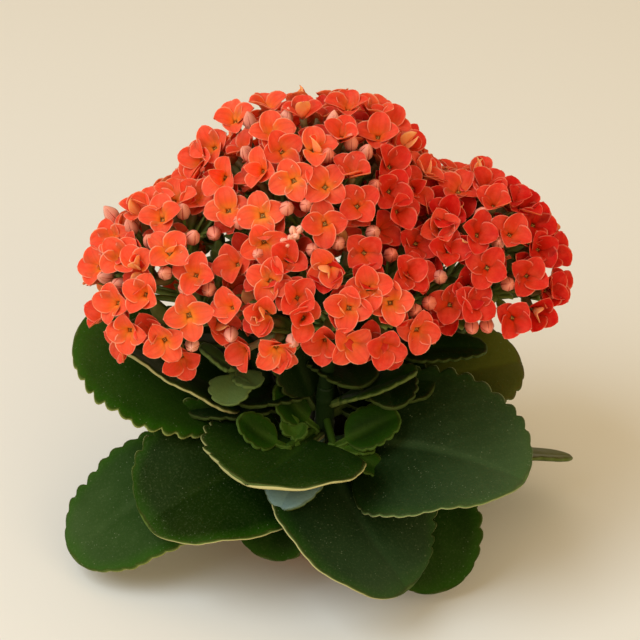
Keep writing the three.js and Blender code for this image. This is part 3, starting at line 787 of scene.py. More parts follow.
# Painted light: a lightened copy of the leaf greens for the leaves that the lamp falls on.
SUNLIT = leaf_material("leaf_sunlit", (0.004, 0.018, 0.0006), (0.021, 0.052, 0.004),
                       rim=(0.08, 0.12, 0.025), line_share=0.25, tip=0.55, **CREAM_EDGED)
# The pale blue-grey that this finish turns towards the tip is a painted sheen.
SLATE = leaf_material("leaf_slate", (0.0012, 0.010, 0.0003), (0.026, 0.054, 0.018),
                      rim=(0.08, 0.12, 0.03), line_share=0.2, glow=0.2, tip=0.8, sap=0.25,
                      specular=0.08, **CREAM_EDGED)
# Painted shade: a darkened copy for the broad leaf that lies in the shade of the flower heads.
FLOWER_SHADED = leaf_material("leaf_flower_shaded", (0.0015, 0.012, 0.0003), (0.014, 0.030, 0.0012),
                     rim=(0.11, 0.17, 0.03), line_share=0.25, tip=0.1, sap=0.4, specular=0.08,
                     **CREAM_EDGED)
# The pale blue-green that this finish turns towards the tip is a painted sheen.
BROAD = leaf_material("leaf_broad", (0.002, 0.011, 0.0008), (0.050, 0.094, 0.032),
                      rim=(0.08, 0.14, 0.035), lip=(0.3, 0.32, 0.13), speckle=0.5, glow=0.12,
                      tip=0.8, sap=0.15, specular=0.14)
YELLOWED = leaf_material("leaf_yellowed", (0.005, 0.028, 0.0003), (0.046, 0.084, 0.024),
                         speckle=0.5, specular=0.04, **OLD_LEAF)
RIPE = leaf_material("leaf_ripe", (0.004, 0.024, 0.0002), (0.034, 0.070, 0.008),
                     speckle=0.4, specular=0.03, **OLD_LEAF)
# Painted reflection: the pale blue-grey of this finish stands for the bright surroundings mirrored on
# the leaf's face.
PAINTED_REFLECTION = leaf_material("leaf_painted_reflection", (0.15, 0.26, 0.24), (0.27, 0.41, 0.40), speckle=0.6)
# Painted shade: a near-black copy of the leaf greens, with a dark edge, for leaves deep inside the
# plant.
PAINTED_DEEP_SHADE = leaf_material("leaf_painted_deep_shade", (0.002, 0.010, 0.0008), (0.010, 0.028, 0.004),
                    lip=(0.025, 0.04, 0.008), speckle=0.2, specular=0.1)
OLIVE = leaf_material("leaf_olive", (0.018, 0.030, 0.002), (0.075, 0.085, 0.008), line_share=0.4,
                      tip=0.8)
YOUNG = leaf_material("leaf_young", (0.003, 0.016, 0.0005), (0.042, 0.088, 0.009),
                      rim=(0.07, 0.13, 0.02), lip=(0.08, 0.14, 0.025), speckle=0.1, glow=0.15,
                      tip=0.0, sap=0.3, specular=0.08)
# Painted light: a lightened copy of the young leaves' greens for the shoot on the left, which sits in
# shade.
YOUNG_LIT = leaf_material("leaf_young_lit", (0.014, 0.044, 0.005), (0.09, 0.145, 0.04), speckle=0.2,
                     rim=(0.12, 0.18, 0.05), lip=(0.12, 0.18, 0.05))

LEAF_FINISH = {
    "right_broad": BROAD, "front_left_broad": FLOWER_SHADED, "left_low": YELLOWED, "left_high": SUNLIT,
    "left_high_rear": RIPE, "front_bowl": SUNLIT, "front_low": SLATE, "front_small": PAINTED_REFLECTION,
    "right_high": OLIVE, "right_rear_low": OLIVE, "right_top": PAINTED_DEEP_SHADE, "middle_front": PAINTED_DEEP_SHADE,
}

# %% Make the leaves
# How deep the teeth are on the left and the right side, where it isn't the usual share. The sides
# nearest the eye are smooth and thick, and show a cream edge, partly a painted highlight.
TEETH = {
    "front_bowl": (0.1, 1.1), "front_left_broad": (0.1, 1.1), "right_broad": (1.0, 0.35),
    "front_low": (1.0, 0.12), "left_low": (0.35, 1.0), "left_high": (0.4, 0.8),
    "left_high_rear": (1.0, 1.0), "right_low": (0.55, 0.3), "front_small": (0.3, 0.3),
}
for number, (name, leaf) in enumerate(LEAVES.items()):
    stack = stem_leaf(leaf, 10 * number, TEETH.get(name, USUAL_TEETH))
    make_piece(f"leaf_{name}_blade", [stack], LEAF_FINISH.get(name, SHADED),
               node=f"leaf_{name}")
print("leaves", len(LEAVES))

# %% Inner leaves
# Leaves between the stems, too deep in the plant to be part of the plain solids. Their dim finish is
# painted shade: these dark leaves are what makes the middle of the plant dark.
INNER_LEAVES = [
    ("middle", 50, 46, 34, (-20,), (12, -6), (0,), (10,)),
    ("middle", 54, 46, 34, (200,), (12, -6), (0,), (10,)),
    ("middle", 66, 40, 28, (100,), (35, 20), (0,), (10,)),
    ("left", 60, 36, 28, (120,), (20, 0), (0,), (10,)),
    ("right", 58, 38, 28, (80,), (20, 0), (0,), (10,)),
    ("back_left", 66, 36, 26, (200,), (25, 5), (0,), (10,)),
    ("back_right", 66, 36, 26, (-10,), (25, 5), (0,), (10,)),
    ("front", 60, 30, 20, (150,), (62, 72), (-30,), (10,)),
    ("front", 58, 34, 26, (30,), (22, 12), (16,), (10,)),
    ("middle", 61, 40, 28, (-28,), (18, -4), (10,), (10,)),
    ("middle", 58, 34, 24, (222,), (20, 0), (0,), (10,)),
    ("middle", 70, 32, 24, (-66,), (26, -6), (0,), (10,)),
    ("right", 66, 30, 22, (-80,), (24, -10), (0,), (10,)),
    ("front", 57, 17, 15, (22,), (10, -4), (8,), (10,)),
]
INNER_SEED = 500
stacks = [stem_leaf(leaf, INNER_SEED + 10 * number) for number, leaf in enumerate(INNER_LEAVES)]
make_piece("inner_leaves", stacks, PAINTED_DEEP_SHADE)
print("inner leaves", len(INNER_LEAVES))

# %% [markdown]
# ## Leafy shoots
# Where a leaf joins its stem, a short shoot of bright young leaves often starts. Each shoot is
# one piece: its round stalk, and small leaves from the same surface with fewer teeth.

# %% Shoots
# stem, height, azimuth, slope and length of the shoot's stalk, then its leaves: how far along
# the stalk as a share, and the rest as in the table of leaves.
SHOOT_RADIUS, SHOOT_ROWS, SHOOT_SIDES = 1.3, 12, 10
SHOOT_TEETH = (0.55, 0.55)
SHOOT_SEED = 300
FRESH_LENGTH = 15.5
FAR_FROM_EDGE = 9.0
SPRIGS = {
    "front_left": ("front", 53, 226, -5, 15, [
        (1.0, 20, 13, (178, 166), (24, 46), (-24,), (12,)),
        (0.05, 21, 15, (160, 166), (38, 60), (-26,), (12,)),
        (0.7, 10, 8, (120, 110), (36, 60), (4,), (12,)),
        (1.0, 12, 9, (196, 190), (-6, 8), (-10,), (14,)),
        (0.75, 8, 6, (50,), (30, 50), (0,), (14,))]),
    "front_right": ("front", 56, -76, -22, 12, [
        (0.9, 25, 17, (12, 10), (30, 18), (26,), (12,)),
        (0.8, 20, 10, (-24,), (-6, -38), (20,), (14,)),
        (0.9, 14, 6, (-8,), (10, -8), (20,), (14,))]),
    "left": ("left", 68, 232, 30, 12, [
        (1.0, 15, 15, (262, 258), (2, -40), (0,), (6,)),
        (0.9, 12, 11, (310, 306), (10, -10), (0,), (8,)),
        (1.0, 16, 13, (190,), (46, 40), (0,), (10,))]),
}
for number, (name, sprig) in enumerate(SPRIGS.items()):
    stem, height, azimuth, rise, length, small = sprig
    root = axil(stem, height, azimuth, rise)
    way = direction(azimuth, float(rise))
    path = root + way * np.linspace(-SINK, length, SHOOT_ROWS)[:, None]
    stalk = rods(path[None], SHOOT_RADIUS, SHOOT_SIDES)
    stacks = [(stalk, {"edge": FAR_FROM_EDGE, "upper": 1.0})]
    for index, (at, *shape) in enumerate(small):
        fresh = float(shape[0] < FRESH_LENGTH)
        stacks.append(leaf_grid(root + way * length * at, shape, SPRIG_STALK_SHARE,
                                SHOOT_SEED + 10 * number + index, SHOOT_TEETH, fresh))
    finish = YOUNG_LIT if name == "left" else YOUNG
    make_piece(f"shoot_{name}", stacks, finish, node=f"sprig_{name}")
print("shoots", len(SPRIGS))

# %% [markdown]
# ## Flower heads
# A head is a dome of florets on branched stalks. The florets lie on an ellipsoid. Those that
# the picture shows are set by where their throats are in it: a line of sight through that
# point meets the nearest head, and the floret sits there. The rest of the dome is filled by a
# golden-angle spiral, which spreads points evenly over a round surface.

# %% Head table
# centre, radii and fork of each head
HEADS = {
    "left": ((-46, -8, 97), (31, 31, 37), (-37, -7, 94)),
    "middle": ((0, 6, 107), (45, 44, 55), (0, 4, 116)),
    "right": ((50, -3, 100), (31, 30, 38), (40, -2, 96)),
    "front": ((5, -23, 100), (42, 26, 32), (4, -25, 96)),
    "back_left": ((-32, 30, 90), (33, 28, 37), (-26, 26, 90)),
    "back_right": ((34, 30, 90), (33, 28, 37), (28, 26, 90)),
}
CENTRES, RADII, FORKS = (np.array(column, dtype=float) for column in zip(*HEADS.values()))

# Each floret in view: the picture's x and y of its throat, which way it leans to the right
# and up as shares of one, the turn of one petal in degrees, and how open it is.
FLORETS_SEEN = [
    (236, 124, -.3, .6, 100, .6), (268, 113, 0, .85, 110, .6), (273, 137, -.05, .45, 95, .8),
    (315, 152, -.05, .5, 92, .6), (294, 181, -.15, .1, 25, .8), (263, 216, -.2, .1, 10, .8),
    (325, 224, -.1, 0, 5, .8), (357, 207, .1, .2, 40, .7), (352, 178, 0, .7, 60, .5),
    (378, 139, 0, .45, 85, .7), (388, 168, .45, .3, 50, .5), (395, 212, .5, 0, 20, .5),
    (216, 149, -.4, .3, 110, .75), (226, 178, -.5, .1, 140, .5), (229, 212, -.1, .3, 100, .6),
    (264, 172, -.5, .1, 170, .6), (325, 188, 0, .3, 45, .7), (303, 119, 0, .75, 90, .6),
    (348, 113, 0, .8, 90, .6), (341, 140, .1, .5, 70, .4), (373, 119, .2, .8, 60, .6),
    (386, 129, .4, .7, 70, .6), (402, 149, .6, .5, 40, .5), (207, 198, -.3, .1, 60, .6),
    (281, 152, .1, .1, 30, .6), (388, 192, .3, .2, 60, .5), (412, 190, .5, .3, 30, .5),
    (425, 205, .5, .2, 60, .5), (264, 241, 0, -.3, 20, .5), (417, 175, .6, .5, 60, .5),
    (271, 281, -.1, 0, 70, .8), (264, 311, 0, -.3, 80, .6), (276, 345, .1, -.6, 40, .7),
    (303, 318, .3, -.1, 70, .6), (328, 266, 0, -.3, 30, .6), (349, 308, -.1, 0, 80, .85),
    (368, 289, 0, .2, 10, .7), (390, 303, .1, 0, 10, .8), (349, 341, .2, -.35, 40, .7),
    (384, 345, .1, -.3, 70, .6), (364, 253, .05, 0, 45, .4), (406, 275, .35, .1, 40, .6),
    (416, 329, .3, -.2, 80, .6), (297, 298, .1, .1, 50, .4), (288, 261, -.1, .3, 60, .4),
    (115, 241, -.4, .2, 100, .6), (163, 221, -.1, .5, 95, .6), (170, 254, -.1, .35, 50, .7),
    (197, 276, -.15, .2, 70, .75), (239, 265, -.5, 0, 100, .6), (189, 315, 0, 0, 10, .9),
    (234, 308, -.45, .1, 100, .5), (165, 339, 0, -.25, 30, .7), (131, 329, -.3, -.3, 90, .6),
    (147, 295, -.35, .1, 60, .7), (120, 303, -.6, 0, 80, .5), (103, 268, -.65, .1, 90, .5),
    (123, 259, -.2, .25, 40, .6), (142, 217, -.3, .75, 80, .5), (153, 211, 0, .8, 100, .5),
    (174, 203, 0, .8, 80, .6), (196, 202, .1, .5, 50, .5), (139, 268, -.2, .3, 120, .5),
    (196, 180, -.4, .6, 100, .5), (448, 252, 0, .2, 85, .6), (476, 236, .25, .25, 80, .6),
    (509, 236, .2, .25, 60, .6), (487, 268, 0, 0, 60, .8), (526, 276, .2, 0, 60, .6),
    (473, 305, .2, .1, 60, .6), (512, 318, .1, -.1, 60, .6), (450, 305, 0, 0, 70, .5),
    (493, 208, .05, .55, 60, .5), (532, 226, .35, .25, 80, .6), (547, 253, .65, .2, 60, .5),
    (458, 194, 0, .6, 60, .6), (486, 190, .1, .7, 50, .6), (508, 202, .25, .7, 90, .6),
    (478, 180, 0, .85, 60, .6), (423, 180, .4, .7, 70, .5), (447, 217, 0, .3, 60, .5),
    (432, 200, .2, .4, 40, .5), (537, 250, .3, .1, 30, .5), (544, 291, .5, 0, 60, .5),
    (533, 309, .3, -.3, 60, .5), (548, 287, .7, 0, 30, .5), (518, 211, .35, .65, 50, .5),
    (415, 244, .3, 0, 60, .5), (440, 230, .1, .2, 20, .5), (204, 163, -.6, .3, 70, .5),
]

# Each bud in view: the picture's x and y, the way it points to the right and up, and how pale
# it is. Those marked 1 are new and small.
BUDS_SEEN = [
    (250, 121, -.2, .7, .5), (286, 118, .2, .8, .6), (333, 121, .1, .8, .6), (351, 142, 0, .6, .3),
    (247, 153, -.3, .4, .5), (366, 152, .2, .5, .4), (287, 208, .1, .2, .4), (307, 205, 0, 0, .3),
    (328, 155, .1, .4, .2), (373, 232, .1, .1, .4), (338, 243, 0, 0, .4), (313, 250, 0, 0, .3),
    (258, 254, -.1, -.1, .6), (391, 255, .1, 0, .1), (291, 238, -.2, .1, 1), (300, 229, .3, .4, 1),
    (296, 236, .2, .1, 1), (284, 241, -.5, 0, 1), (293, 230, -.1, .5, 1), (288, 244, -.2, -.3, 1),
    (111, 214, -.5, .6, .6), (183, 211, 0, .5, .5), (131, 226, -.2, .6, .4),
    (150, 241, -.2, .4, .4), (193, 237, .2, .4, .4), (165, 273, -.2, 0, .5), (105, 277, -.5, 0, .6),
    (192, 345, 0, -.3, .7), (231, 335, 0, -.5, .5), (293, 341, 0, -.3, .6), (440, 277, -.1, 0, .5),
    (429, 303, -.1, 0, .1), (498, 242, 0, 0, .4), (508, 284, .1, 0, .3), (487, 326, .1, -.5, .15),
    (472, 327, 0, -.5, .15), (415, 311, 0, -.1, .2), (214, 234, .1, -.3, .3), (482, 214, .2, .4, .4),
    (548, 297, .3, -.1, .1), (375, 186, .1, .3, .2), (209, 290, 0, -.2, .4), (240, 222, 0, .2, .4),
    (118, 285, -.4, -.1, .5), (185, 288, -.1, -.3, .5), (395, 353, .1, -.5, .3), (537, 212, .4, .7, .4),
]
print(len(HEADS), "heads,", len(FLORETS_SEEN), "florets and", len(BUDS_SEEN), "buds in view")

# %% Places on the heads
FLORET_DEPTH, BUD_DEPTH, FARTHEST_OUT = 0.985, 1.02, 1.2
PASSED_BY = 1e4


def sight_lines(x, y):
    """The unit direction from the eye through points of the picture."""
    across = (x - PICTURE / 2) / PICTURE * SENSOR
    upward = (PICTURE / 2 - y) / PICTURE * SENSOR
    return unit(LENS * FORWARD + across[:, None] * RIGHT + upward[:, None] * UP)


def meet_heads(x, y, scale):
    """
    Where lines of sight first meet a head, and which head. In units of a head's radii it is a
    ball, and a line meets it where the distance from the centre is one; a line that passes by
    takes its nearest point instead, pulled in to a fifth outside the ball at most.
    """
    ray = sight_lines(x, y)
    start = (EYE / MM - CENTRES[:, None]) / (RADII[:, None] * scale)
    step = ray[None] / (RADII[:, None] * scale)
    a = np.sum(step * step, axis=-1)
    b = np.sum(step * start, axis=-1)
    c = np.sum(start * start, axis=-1) - 1
    root = b * b - a * c
    far = (-b - np.sqrt(np.maximum(root, 0))) / a
    miss = np.sqrt(np.maximum(0, c + 1 - b * b / a))
    rank = np.where(root > 0, far, PASSED_BY * (1 + miss))
    head = np.argmin(rank, axis=0)
    pick = np.arange(len(x))
    local = start[head, 0] + far[head, pick][:, None] * step[head, pick]
    far_out = np.linalg.norm(local, axis=-1, keepdims=True)
    local = unit(local) * np.clip(far_out, 1.0, FARTHEST_OUT) * scale
    return CENTRES[head] + local * RADII[head], head


def outward(points, head):
    """The way out of a head's ellipsoid at points on it."""
    return unit((points - CENTRES[head]) / RADII[head]**2)


def leaning(right, up):
    """The way a floret faces from how it leans in the picture: the rest is towards the eye."""
    towards = np.sqrt(np.maximum(0.03, 1 - right**2 - up**2))
    return unit(right[:, None] * RIGHT + up[:, None] * UP - towards[:, None] * FORWARD)


seen = np.array(FLORETS_SEEN, dtype=float)
seen_at, seen_head = meet_heads(seen[:, 0], seen[:, 1], FLORET_DEPTH)
seen_way = leaning(seen[:, 2], seen[:, 3])
buds = np.array(BUDS_SEEN, dtype=float)
bud_at, bud_head = meet_heads(buds[:, 0], buds[:, 1], BUD_DEPTH)
bud_way = leaning(buds[:, 2], buds[:, 3])
bud_pale = buds[:, 4]
print("florets in view", len(seen), "by head", np.bincount(seen_head, minlength=len(HEADS)))

# %% Fill the hidden sides
# Places in the picture where the backdrop shows between the florets.
GAPS_SEEN = [(86, 290), (91, 301), (473, 346), (203, 240), (215, 248), (165, 300), (545, 270),
             (533, 303), (494, 297)]
GAP_CLEAR = 7.5
FILL_TRIES, FILL_DOWN = 900, 1.18
FILL_DEPTH, FILL_SPACING = 0.97, 11.0
FACING_AWAY, OWN_SHARE = -0.14, 0.98
UNDER_DEPTHS, UNDER_TRIES, UNDER_SPACING = (0.87, 0.70), 420, 10.4
BUD_CLEAR = 8.5


def spiral(count, down):
    """Points spread evenly over a ball from its top down, each a golden angle on from the last."""
    k = np.arange(count)
    up = 1 - down * (k + 0.5) / count
    ring = np.sqrt(np.maximum(0, 1 - up * up))
    angle = k * np.pi * (3 - math.sqrt(5))
    return np.stack([np.cos(angle) * ring, np.sin(angle) * ring, up], axis=-1)


def inside_another(points, head, scale):
    """True where a point lies inside some other head's ellipsoid."""
    local = (points[:, None] - CENTRES) / RADII
    deep = np.linalg.norm(local, axis=-1) < scale
    deep[:, head] = False
    return deep.any(axis=1)


def spread_out(points, taken, spacing):
    """Keeps each point that is a spacing or more from all those taken, and takes it too."""
    kept = []
    for point in points:
        if not taken or np.linalg.norm(np.array(taken) - point, axis=1).min() >= spacing:
            taken.append(point)
            kept.append(point)
    return kept


def hidden_florets():
    """Spiral places that the picture doesn't show, each a spacing or more from all the others."""
    taken = list(seen_at)
    found, owner = [], []
    for head in range(len(HEADS)):
        points = CENTRES[head] + spiral(FILL_TRIES, FILL_DOWN) * RADII[head] * FILL_DEPTH
        out = outward(points, np.full(len(points), head))
        good = ((out @ -FORWARD) < FACING_AWAY) & ~inside_another(points, head, OWN_SHARE)
        kept = spread_out(points[good], taken, FILL_SPACING)
        found.extend(kept)
        owner.extend([head] * len(kept))
    return np.array(found), np.array(owner)


def under_florets():
    """A looser layer a little deeper in each head, which shows through the gaps of the first."""
    taken, owner = [], []
    for scale, head in [(scale, head) for scale in UNDER_DEPTHS for head in range(len(HEADS))]:
        points = CENTRES[head] + spiral(UNDER_TRIES, FILL_DOWN) * RADII[head] * scale
        clear = np.linalg.norm(points[:, None] - bud_at[None], axis=-1).min(axis=1) > BUD_CLEAR
        good = clear & ~inside_another(points, head, scale)
        owner.extend([head] * len(spread_out(points[good], taken, UNDER_SPACING)))
    return np.array(taken), np.array(owner)


def off_gaps(points, owner):
    """Leaves out the points that lie within GAP_CLEAR of the line of sight through a gap."""
    gaps = np.array(GAPS_SEEN, dtype=float)
    ray = sight_lines(gaps[:, 0], gaps[:, 1])
    out = points[:, None] - EYE / MM
    apart = np.linalg.norm(np.cross(out, ray[None]), axis=-1).min(axis=1)
    return points[apart > GAP_CLEAR], owner[apart > GAP_CLEAR]


fill_at, fill_head = off_gaps(*hidden_florets())
under_at, under_head = off_gaps(*under_florets())
fill_at = np.concatenate([fill_at, under_at])
fill_head = np.concatenate([fill_head, under_head])
is_under = np.arange(len(fill_at)) >= len(fill_at) - len(under_at)
k = np.arange(len(fill_at))
stray = np.stack([chance(3 * k), chance(3 * k + 1), chance(3 * k + 2)], axis=-1) - 0.5
fill_way = unit(outward(fill_at, fill_head) + [0, 0, 0.2] + 0.5 * stray)
print("florets out of view", len(fill_at))

# %% [markdown]
# ## Petals
# Each floret has four broad petals that rise from its throat, turn outwards and end in a small
# point. A petal is a sheet of two parameters: u from the throat to the tip and v from edge to
# edge. Its line in profile is the running sum of steps at an angle that falls from steep at
# the throat to the floret's own openness and droops at the tip. Edges are lifted with the
# square of v, one a little more than the other, so the four overlap like a pinwheel.

# %% Petal shape
PETAL_LENGTH, PETAL_HALF, THROAT = 8.9, 4.0, 0.45
PETAL_ROWS = 8
PETAL_COLUMNS = np.array([1, 0.93, 0.4, -0.4, -0.93, -1])
PETAL_THICKNESS = 0.24
PETALS = 4
UPRIGHT_TURN, UPRIGHT_CHANCE, UPRIGHT_NARROWER = 58, 0.945, 0.35
MOST_OPEN = 0.75
STEEP_AT_THROAT = 78


def petal_grids(count, openness, seed):
    """
    Petals of florets that face +Z, (count, 4, rows, ring, 3) in millimetres, and their stores.
    Here and there one petal stands upright, narrower than the others, its back paler as painted light.
    """
    petal = np.arange(PETALS)[None, :]
    n = seed[:, None] + 17 * petal
    stands = (chance(n + 21) > UPRIGHT_CHANCE) * (openness[:, None] < MOST_OPEN)
    rise = np.radians(64 - 50 * openness[:, None] + 30 * (chance(n) - 0.5) + UPRIGHT_TURN * stands)
    u = 1 - (1 - np.linspace(0, 1, PETAL_ROWS))**1.6
    middle = (u[1:] + u[:-1]) / 2
    settle = np.exp(-middle / 0.16)
    droop = np.radians(8 + 26 * chance(n + 5))[..., None] * middle**2.5
    angle = rise[..., None] * (1 - settle) + np.radians(STEEP_AT_THROAT) * settle - droop
    size = PETAL_LENGTH * (0.93 + 0.12 * chance(n + 3))[..., None]
    steps = size * np.diff(u)
    zero = np.zeros((count, PETALS, 1))
    out = np.concatenate([zero, np.cumsum(np.cos(angle) * steps, axis=-1)], axis=-1) + THROAT
    up = np.concatenate([zero, np.cumsum(np.sin(angle) * steps, axis=-1)], axis=-1)
    tilt = np.concatenate([angle[..., :1], angle], axis=-1)
    v, face = both_faces(PETAL_COLUMNS)
    grown = np.sin(np.pi / 2 * np.clip(u / 0.5, 0, 1))
    shrink = np.clip(1 - (np.clip(u - 0.45, 0, 1) / 0.553)**2.2, 0, 1)**0.6
    half = PETAL_HALF * (0.24 + 0.76 * grown) * shrink
    y = half[:, None] * v * (1 - UPRIGHT_NARROWER * stands)[..., None, None]
    short = -0.2 * np.abs(v)**2 * u[:, None]**3 + 0.2 * np.exp(-(v / 0.3)**2) * u[:, None]**12
    twist = 0.45 * (chance(n + 13) - 0.4)[..., None, None]
    cup = 0.30 + 0.34 * chance(n + 9)[..., None, None]
    ruffle = 0.14 * np.sin(3.0 * v + 6 * chance(n + 2)[..., None, None]) * u[:, None]**2
    fold = 0.1 * np.exp(-(v / 0.25)**2) * grown[:, None]
    lift = half[:, None] * (cup * v**2 + twist * v) + ruffle - fold
    lift = lift + face * PETAL_THICKNESS / 2 * np.sqrt(1 - np.abs(v)**8)
    reach = out[..., None] + short * np.cos(tilt)[..., None] - lift * np.sin(tilt)[..., None]
    z = up[..., None] + short * np.sin(tilt)[..., None] + lift * np.cos(tilt)[..., None]
    turn = (petal * 2 * np.pi / PETALS + 0.12 * (chance(n + 7) - 0.5))[..., None, None]
    x2 = reach * np.cos(turn) - y * np.sin(turn)
    y2 = reach * np.sin(turn) + y * np.cos(turn)
    stores = {"along": u[:, None], "across": v, "upper": (face + 1) / 2,
              "pale": stands.reshape(-1, 1, 1)}
    return np.stack([x2, y2, z], axis=-1), stores


def face_way(grid, at, way, spin):
    """Turns shapes that face +Z to face `way`, spun by degrees from the picture's right."""
    z = unit(way)
    x = unit(RIGHT - z * (z @ RIGHT)[:, None])
    y = np.cross(z, x)
    angle = np.radians(spin)[:, None]
    x, y = x * np.cos(angle) + y * np.sin(angle), y * np.cos(angle) - x * np.sin(angle)
    axes = np.stack([x, y, z], axis=1)
    flat = grid.reshape(len(at), -1, 3)
    return (np.einsum("nki,nij->nkj", flat, axes) + at[:, None]).reshape(grid.shape)


all_at = np.concatenate([seen_at, fill_at])
all_way = np.concatenate([seen_way, fill_way])
all_head = np.concatenate([seen_head, fill_head])
k = np.arange(len(fill_at))
all_spin = np.concatenate([seen[:, 4], 90 * chance(k + 400)])
fill_open = np.where(is_under, 0.25 + 0.35 * chance(k + 800), 0.5 + 0.4 * chance(k + 800))
all_open = np.concatenate([seen[:, 5], fill_open])
all_under = np.concatenate([np.zeros(len(seen_at)), is_under])
all_seed = 31.0 * np.arange(len(all_at))

# Florets that stand out as more orange, or as deeper red, by their places in the picture.
SHIFT_TO_RED, SHIFT_TO_ORANGE = 0.32, -0.38
ORANGE_ONES = [(216, 149), (226, 178), (236, 124), (315, 152), (294, 181), (131, 329), (120, 303),
               (103, 268), (123, 259), (139, 268), (196, 180), (458, 194), (390, 303), (276, 345),
               (147, 295), (229, 212), (478, 180)]
RED_ONES = [(447, 217), (415, 244), (364, 253), (432, 200), (357, 207), (395, 212), (388, 192),
            (412, 190), (425, 205), (297, 298), (288, 261), (388, 168), (536, 223)]


def near_any(spots, reach=7.0):
    """True for each floret in view whose throat is within reach of one of the spots."""
    gaps = np.linalg.norm(seen[:, None, :2] - np.array(spots, dtype=float)[None], axis=-1)
    return gaps.min(axis=1) < reach


all_shift = np.zeros(len(all_at))
shifts = SHIFT_TO_RED * near_any(RED_ONES) + SHIFT_TO_ORANGE * near_any(ORANGE_ONES)
all_shift[:len(seen)] = shifts
print("florets", len(all_at))

# %% [markdown]
# ## Nodes and colours of the heads
# A node is where several stalks of a head meet. The same spiral spreads the nodes over a smaller
# ellipsoid inside each head, and each floret or bud goes to the nearest. Whether a floret is orange or
# deep red depends on its place, on chance and on how deep it sits. The place and the depth paint light
# and shade: orange towards the lamp at the upper left, and deep red to the right, below and in the
# deeper layer.

# %% Nodes
NODE_SPACING, NODE_SHARE = 13.0, 0.62
NODE_TRIES, NODE_DOWN, NODE_OWN_SHARE = 160, 1.12, 0.8


def head_nodes(head):
    """Nodes on a smaller ellipsoid within a head, spread by the spiral."""
    points = CENTRES[head] + spiral(NODE_TRIES, NODE_DOWN) * RADII[head] * NODE_SHARE
    good = ~inside_another(points, head, NODE_OWN_SHARE)
    return np.array(spread_out(points[good], [], NODE_SPACING))


def nearest(points, nodes):
    """The node nearest to each point."""
    gaps = np.linalg.norm(points[:, None] - nodes[None], axis=-1)
    return nodes[np.argmin(gaps, axis=1)]


def tone_of(points, seed, under, shift):
    """
    How red a floret is, from 0, orange, to 1, deep red: more to the right and below, by chance, and
    more in the deeper layer. The place and the layer are painted light and shade: orange where the lamp
    at the upper left falls, and deep red away from it and deeper in the head.
    """
    # Painted light and shade: orange up and to the left, towards the lamp, and red to the right and
    # below.
    place = 0.41 + points[:, 0] / 112 - (points[:, 2] - 100) / 500
    return np.clip(place + 0.55 * (chance(seed + 11) - 0.5) + 0.3 * under + shift, 0, 1)


print("nodes of each head", [len(head_nodes(head)) for head in range(len(HEADS))])

# %% [markdown]
# ## Finishes of petals, buds and stalks
# Petals are thin and let light through, so their shader scatters it under the skin. Their colour lies
# between orange and deep red by the number stored for each floret, and that number holds painted light
# and shade. Fine streaks run along it. The rim is paler, partly as painted light through the thin edge.
# An orange glow lies round the throat, and the throat itself is darkened as painted shade. The back is
# duller, and the backs of upright petals are paler as painted light.
# Buds are salmon with darker grooves and a green foot, and stalks are a blotched green.

# %% Petal finish
petal, tree, shader = new_material("petal", 0.6, 0.08)
along, across = stored(tree, "along"), stored(tree, "across")
upper, tone = stored(tree, "upper"), stored(tree, "tone")
outer = mix(tree, tone, (0.91, 0.084, 0.034), (0.49, 0.0045, 0.0026))
inner = mix(tree, tone, (0.93, 0.122, 0.015), (0.52, 0.009, 0.001))
colour = mix(tree, ramp_between(tree, along, 0.15, 0.8), inner, outer)
streak = noise(tree, 320, 3, 0.6)
light_streak = mix(tree, 0.4, colour, mix(tree, tone, (0.95, 0.20, 0.10), (0.80, 0.07, 0.03)))
colour = mix(tree, ramp_between(tree, streak, 0.35, 0.8), colour, light_streak)
fan = times(tree, across, 11.0, times(tree, streak, 2.5))
fan = ramp_between(tree, math_node(tree, "SINE", fan), 0.1, 1.0)
colour = mix(tree, times(tree, fan, 0.10), colour, (0.30, 0.008, 0.002))
# The paler rim is partly the petal's own pale margin and partly painted light shining through the thin
# edge.
rim = ramp_between(tree, math_node(tree, "ABSOLUTE", across), 0.86, 1.0)
rim = math_node(tree, "MAXIMUM", rim, ramp_between(tree, along, 0.93, 1.0))
rim_colour = mix(tree, tone, (1.0, 0.42, 0.27), (0.95, 0.17, 0.12))
colour = mix(tree, times(tree, rim, 0.6), colour, rim_colour)
glow = math_node(tree, "SUBTRACT", 0.75, tone, clamp=True)
glow = times(tree, ramp_between(tree, along, 0.42, 0.1), glow)
colour = mix(tree, times(tree, glow, 0.65), colour, (1.0, 0.36, 0.03))
# Painted shade: the petals darken towards the throat, where the tube's mouth is in shade.
throat = ramp_between(tree, along, 0.15, 0.03)
colour = mix(tree, times(tree, throat, 0.85), colour, (0.10, 0.06, 0.008))
back = mix(tree, ramp_between(tree, streak, 0.3, 0.7), (0.86, 0.22, 0.07), (0.66, 0.08, 0.025))
# Painted light: upright petals show a paler back, for the light from above that falls on it.
upright_lit_back = mix(tree, streak, (0.93, 0.26, 0.07), (0.98, 0.44, 0.17))
back = mix(tree, stored(tree, "pale"), back, upright_lit_back)
colour = mix(tree, ramp_between(tree, upper, 0.5, 0.1), colour, back)
link(tree, colour, shader.inputs["Base Color"])
bump(tree, noise(tree, 900, 2, 0.5), 0.12, 0.0003, shader)
shader.inputs["Subsurface Weight"].default_value = 0.45
shader.inputs["Subsurface Radius"].default_value = (1.0, 0.25, 0.12)
shader.inputs["Subsurface Scale"].default_value = 0.002
print("petal finish", len(tree.nodes), "nodes")

# %% Bud and stalk finishes
BUD_STRIPES = 2.0

